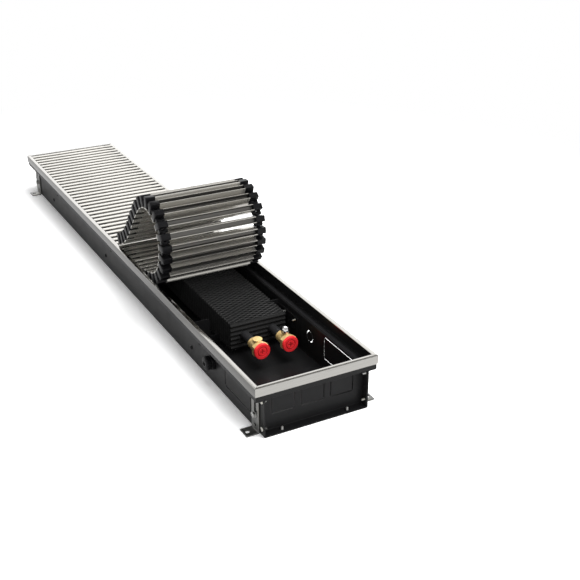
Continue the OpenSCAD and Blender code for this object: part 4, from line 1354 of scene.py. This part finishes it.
class HEATER_OT_screws(bpy.types.Operator):
    """Build the screws of the end plates and brackets, and the bolts of the feet"""
    bl_idname = "heater.screws"
    bl_label = "Screws and Bolts"

    def execute(self, context):
        for node, head_finish in (("end_plate_screws", "zinc_steel"), ("bracket_screws", "casing_black")):
            heads, shanks = [], []
            # Screws along X have pan heads, and those along Z lie flush
            for along, raised in ((0, SCREW_HEAD), (2, 0)):
                row = screw_places(node, along)
                if not row:
                    continue
                size = row[0][2]
                places = [(place + aim * raised, aim) for place, aim, _ in row]
                if raised:
                    form, start = screw_head_form(size.y / 2), 0
                else:
                    form, start = flush_head_form(size.x / 2), SHEET
                heads.append(copies_at(form, places, head_finish, "heads"))
                thread = shank_form(start, size[along] - raised)
                shanks.append(copies_at(thread, places, "zinc_steel", "shanks"))
            piece(node + "_heads", merged(heads, "heads"), head_finish, "root", [node])
            piece(node + "_shanks", merged(shanks, "shanks"), "zinc_steel", "root")
        piece("foot_bolts", merged(self.bolts(), "bolts"), "zinc_steel", "root", ["foot_fasteners"])
        return {"FINISHED"}

    def bolts(self):
        """Bolt, washer and nut of each foot, sorted from the packed solids by their size."""
        meshes = []
        longest_nut, thickest_washer = 6 * MM, 2 * MM
        for low, high in islands("foot_fasteners"):
            size, middle = high - low, (low + high) / 2
            outer = -1 if middle.x < 0 else 1
            if size.x > longest_nut:
                meshes.append(self.bolt(low, high, middle, outer))
            elif size.x < thickest_washer:
                outer_radius, inner_radius, soft = size.y / 2, 2.7 * MM, 0.15 * MM
                ring = [(outer_radius - soft, low.x), (outer_radius, low.x + soft),
                        (outer_radius, high.x - soft), (outer_radius - soft, high.x),
                        (inner_radius, high.x), (inner_radius, low.x)]
                meshes.append(shifted(revolved(ring, 40, "x", "washer", True), (0, middle.y, middle.z)))
            else:
                across, turn = hexagon_in(size)
                nut = chamfered_hexagon(across, low.x, high.x, "x", turn)
                past = 1 * MM
                hole = prism(circle(2.5 * MM + PLAY, 24), low.x - past, high.x + past, "x")
                meshes.append(shifted(combined(nut, [hole], "DIFFERENCE"), (0, middle.y, middle.z)))
        return meshes

    def bolt(self, low, high, middle, outer):
        """One hexagon bolt: head outside the wall, threaded shank through it."""
        across, turn = hexagon_in(high - low)
        face, tip = (low.x, high.x) if outer < 0 else (high.x, low.x)
        head_height, thread, core, pitch, lap = 3.5 * MM, 2.5 * MM, 2.2 * MM, 0.8 * MM, 1 * MM
        under = face - outer * head_height
        start, end = sorted((face, under))
        head = chamfered_hexagon(across, start, end, "x", turn)
        profile = [(0, under + outer * lap), (core, under + outer * lap)]
        profile += thread_profile(thread, under, tip, pitch)
        profile.append((0, tip))
        shank = revolved(profile, 24, "x", "shank")
        return shifted(combined(head, [shank], "UNION"), (0, middle.y, middle.z))


# Sheet metal


class HEATER_OT_sheet_metal(bpy.types.Operator):
    """Give the trough, its end plates, the brackets and the rubber strips their finishes"""
    bl_idname = "heater.sheet_metal"
    bl_label = "Sheet Metal"

    def execute(self, context):
        for node in ("trough_casing", "front_end_plate", "rear_end_plate"):
            dress(node, "casing_black")
        dress("exchanger_brackets", "bracket_black")
        dress("rubber_strips", "rubber_black")
        return {"FINISHED"}


# The stage


def area_light(name, place, target, size, power):
    """A rectangular lamp that looks at a point."""
    lamp = bpy.data.lights.new(name, "AREA")
    lamp.shape = "RECTANGLE"
    lamp.size, lamp.size_y = size
    lamp.energy = power
    holder = scene_object(name, lamp)
    holder.location = place
    aim = Vector(target) - Vector(place)
    holder.rotation_euler = aim.to_track_quat("-Z", "Y").to_euler()
    return holder


def seen_directly(tree):
    """A factor that is 1 for rays that show the background: camera, glossy and transmission rays."""
    path = add_node(tree, "ShaderNodeLightPath")
    total = path.outputs["Is Camera Ray"]
    for ray in ("Is Glossy Ray", "Is Transmission Ray"):
        join = add_node(tree, "ShaderNodeMath", operation="MAXIMUM")
        tree.links.new(total, join.inputs[0])
        tree.links.new(path.outputs[ray], join.inputs[1])
        total = join.outputs[0]
    return total


def mixed(tree, share, first, second):
    """The output of a mix of two shaders by a share."""
    mix = add_node(tree, "ShaderNodeMixShader")
    tree.links.new(share, mix.inputs[0])
    tree.links.new(first.outputs[0], mix.inputs[1])
    tree.links.new(second.outputs[0], mix.inputs[2])
    return mix.outputs[0]


def build_world(ambient):
    """White behind the object, and a softer even light on it."""
    world = bpy.data.worlds.new("studio")
    bpy.context.scene.world = world
    world.use_nodes = True
    tree = world.node_tree
    tree.nodes.clear()
    soft, white = [
        preset(add_node(tree, "ShaderNodeBackground"), Color=(1.0, 1.0, 1.0, 1.0), Strength=strength)
        for strength in (ambient, 1.0)]
    output = add_node(tree, "ShaderNodeOutputWorld")
    tree.links.new(mixed(tree, seen_directly(tree), soft, white), output.inputs["Surface"])


def floor_material(sizes):
    """A pale matt floor, lighter to the camera than it is lit, that turns plain white further out."""
    made = bpy.data.materials.new("pale_floor")
    made.use_nodes = True
    tree = made.node_tree
    tree.nodes.clear()
    link = tree.links.new
    tint, reach = tuple(sizes.floor_colour), sizes.floor_reach
    place = add_node(tree, "ShaderNodeTexCoord").outputs["Object"]
    grain = preset(add_node(tree, "ShaderNodeTexNoise"), Scale=8.0)
    link(place, grain.inputs["Vector"])
    ramp = add_node(tree, "ShaderNodeValToRGB")
    ramp.color_ramp.elements[0].color = (*shade(tint, 0.99), 1.0)
    ramp.color_ramp.elements[1].color = (*tint, 1.0)
    link(grain.outputs["Fac"], ramp.inputs["Fac"])
    gain = preset(add_node(tree, "ShaderNodeMapRange"), To_Min=1.0, To_Max=sizes.floor_gain)
    link(add_node(tree, "ShaderNodeLightPath").outputs["Is Camera Ray"], gain.inputs["Value"])
    tone = add_node(tree, "ShaderNodeVectorMath", operation="SCALE")
    link(ramp.outputs["Color"], tone.inputs[0])
    link(gain.outputs["Result"], tone.inputs["Scale"])
    matt = add_node(tree, "ShaderNodeBsdfDiffuse")
    link(tone.outputs["Vector"], matt.inputs["Color"])
    distance = add_node(tree, "ShaderNodeVectorMath", operation="LENGTH")
    link(place, distance.inputs[0])
    fade = add_node(tree, "ShaderNodeMapRange", interpolation_type="SMOOTHSTEP")
    preset(fade, From_Min=reach, From_Max=2 * reach, To_Min=sizes.floor_white, To_Max=1.0)
    link(distance.outputs["Value"], fade.inputs["Value"])
    share = add_node(tree, "ShaderNodeMath", operation="MULTIPLY")
    link(seen_directly(tree), share.inputs[0])
    link(fade.outputs["Result"], share.inputs[1])
    white = add_node(tree, "ShaderNodeEmission")
    output = add_node(tree, "ShaderNodeOutputMaterial")
    link(mixed(tree, share.outputs[0], matt, white), output.inputs["Surface"])
    return made


def card_material():
    """Mid grey of the card overhead, which only reflections show."""
    card = Finish("overhead_card", 0.9)
    card.colours(card.noise(3.0), [(NOISE_LOW, (0.55, 0.54, 0.52)), (NOISE_HIGH, (0.60, 0.59, 0.57))])
    return card.material


class HEATER_OT_stage(bpy.types.Operator):
    """Set up the floor, the lights, the background and the camera"""
    bl_idname = "heater.stage"
    bl_label = "Stage"

    def execute(self, context):
        sizes = context.scene.heater_stage
        self.surfaces(sizes)
        self.lamps(sizes)
        build_world(sizes.ambient)
        self.camera(context.scene, sizes)
        context.scene.view_settings.view_transform = "Standard"
        return {"FINISHED"}

    def surfaces(self, sizes):
        """The floor, and the card overhead that the metal reflects."""
        half = sizes.floor_size / 2
        low = CAD_BOX[0][2]
        corners = [(-half, -half, low), (half, -half, low), (half, half, low), (-half, half, low)]
        mesh = bpy.data.meshes.new("floor")
        mesh.from_pydata(corners, [], [(0, 1, 2, 3)])
        above = mesh.copy()
        mesh.materials.append(floor_material(sizes))
        scene_object("floor", mesh)
        smaller = Matrix.Scale(sizes.card_size / sizes.floor_size, 4)
        above.transform(Matrix.Translation((0, 0, sizes.card_height)) @ smaller)
        above.materials.append(card_material())
        card = scene_object("ceiling", above)
        for ray in ("camera", "diffuse", "transmission", "shadow"):
            setattr(card, "visible_" + ray, False)

    def lamps(self, sizes):
        """Two lamps that light the object but aren't reflected in it, and one that only is reflected."""
        key = area_light("key_panel", place=(0.5, -0.5, 2.6), target=(0, 0, 0), size=(1.8, 1.8),
                         power=sizes.key_power)
        key.visible_glossy = False
        front = area_light("front_panel", place=(0.1, -2.7, 1.3), target=(0, -0.3, 0), size=(4.4, 2.4),
                           power=sizes.front_power)
        front.visible_glossy = False
        rear = area_light("rear_panel", place=(1.5, 2.6, 1.5), target=(0, 0, 0.1), size=(3.4, 2.0),
                          power=sizes.rear_power)
        rear.visible_diffuse = False

    def camera(self, scene, sizes):
        """The camera, which looks down on the trough from beyond its left front corner."""
        lens = bpy.data.cameras.new("camera")
        lens.lens = sizes.lens
        lens.sensor_width = sizes.sensor
        lens.clip_start = 10 * MM
        turn = Matrix.Rotation(-sizes.heading, 4, "Z") @ Matrix.Rotation(math.pi / 2 - sizes.down, 4, "X")
        turn = turn @ Matrix.Rotation(sizes.roll, 4, "Z")
        holder = scene_object("camera", lens)
        holder.matrix_world = Matrix.Translation(sizes.place) @ turn
        scene.camera = holder


class HEATER_PT_panel(bpy.types.Panel):
    """Lists the sizes and the building steps of the heater"""
    bl_idname = "HEATER_PT_panel"
    bl_label = "Trench Convector Heater"
    bl_space_type = "VIEW_3D"
    bl_region_type = "UI"
    bl_category = "Heater"

    def draw(self, context):
        layout = self.layout
        for group in GROUPS:
            box = layout.box()
            box.label(text=group.__doc__)
            settings = getattr(context.scene, GROUPS[group])
            for key in group.__annotations__:
                box.prop(settings, key)
        for step in STEPS:
            layout.operator(step.bl_idname)


GROUPS = {
    FrameSizes: "heater_frame",
    GrilleSizes: "heater_grille",
    ExchangerSizes: "heater_exchanger",
    FittingSizes: "heater_fittings",
    Finishes: "heater_finishes",
    StageSizes: "heater_stage",
}
STEPS = (HEATER_OT_stage, HEATER_OT_sheet_metal, HEATER_OT_frame, HEATER_OT_slats, HEATER_OT_links,
         HEATER_OT_exchanger, HEATER_OT_fittings, HEATER_OT_gland, HEATER_OT_feet, HEATER_OT_screws)
CLASSES = (*GROUPS, *STEPS, HEATER_PT_panel)


def register():
    for made in CLASSES:
        bpy.utils.register_class(made)
    for group, name in GROUPS.items():
        setattr(bpy.types.Scene, name, bpy.props.PointerProperty(type=group))


def unregister():
    for name in GROUPS.values():
        delattr(bpy.types.Scene, name)
    for made in reversed(CLASSES):
        bpy.utils.unregister_class(made)


def main():
    register()
    for step in STEPS:
        category, name = step.bl_idname.split(".")
        getattr(getattr(bpy.ops, category), name)()


if __name__ == "__main__":
    main()
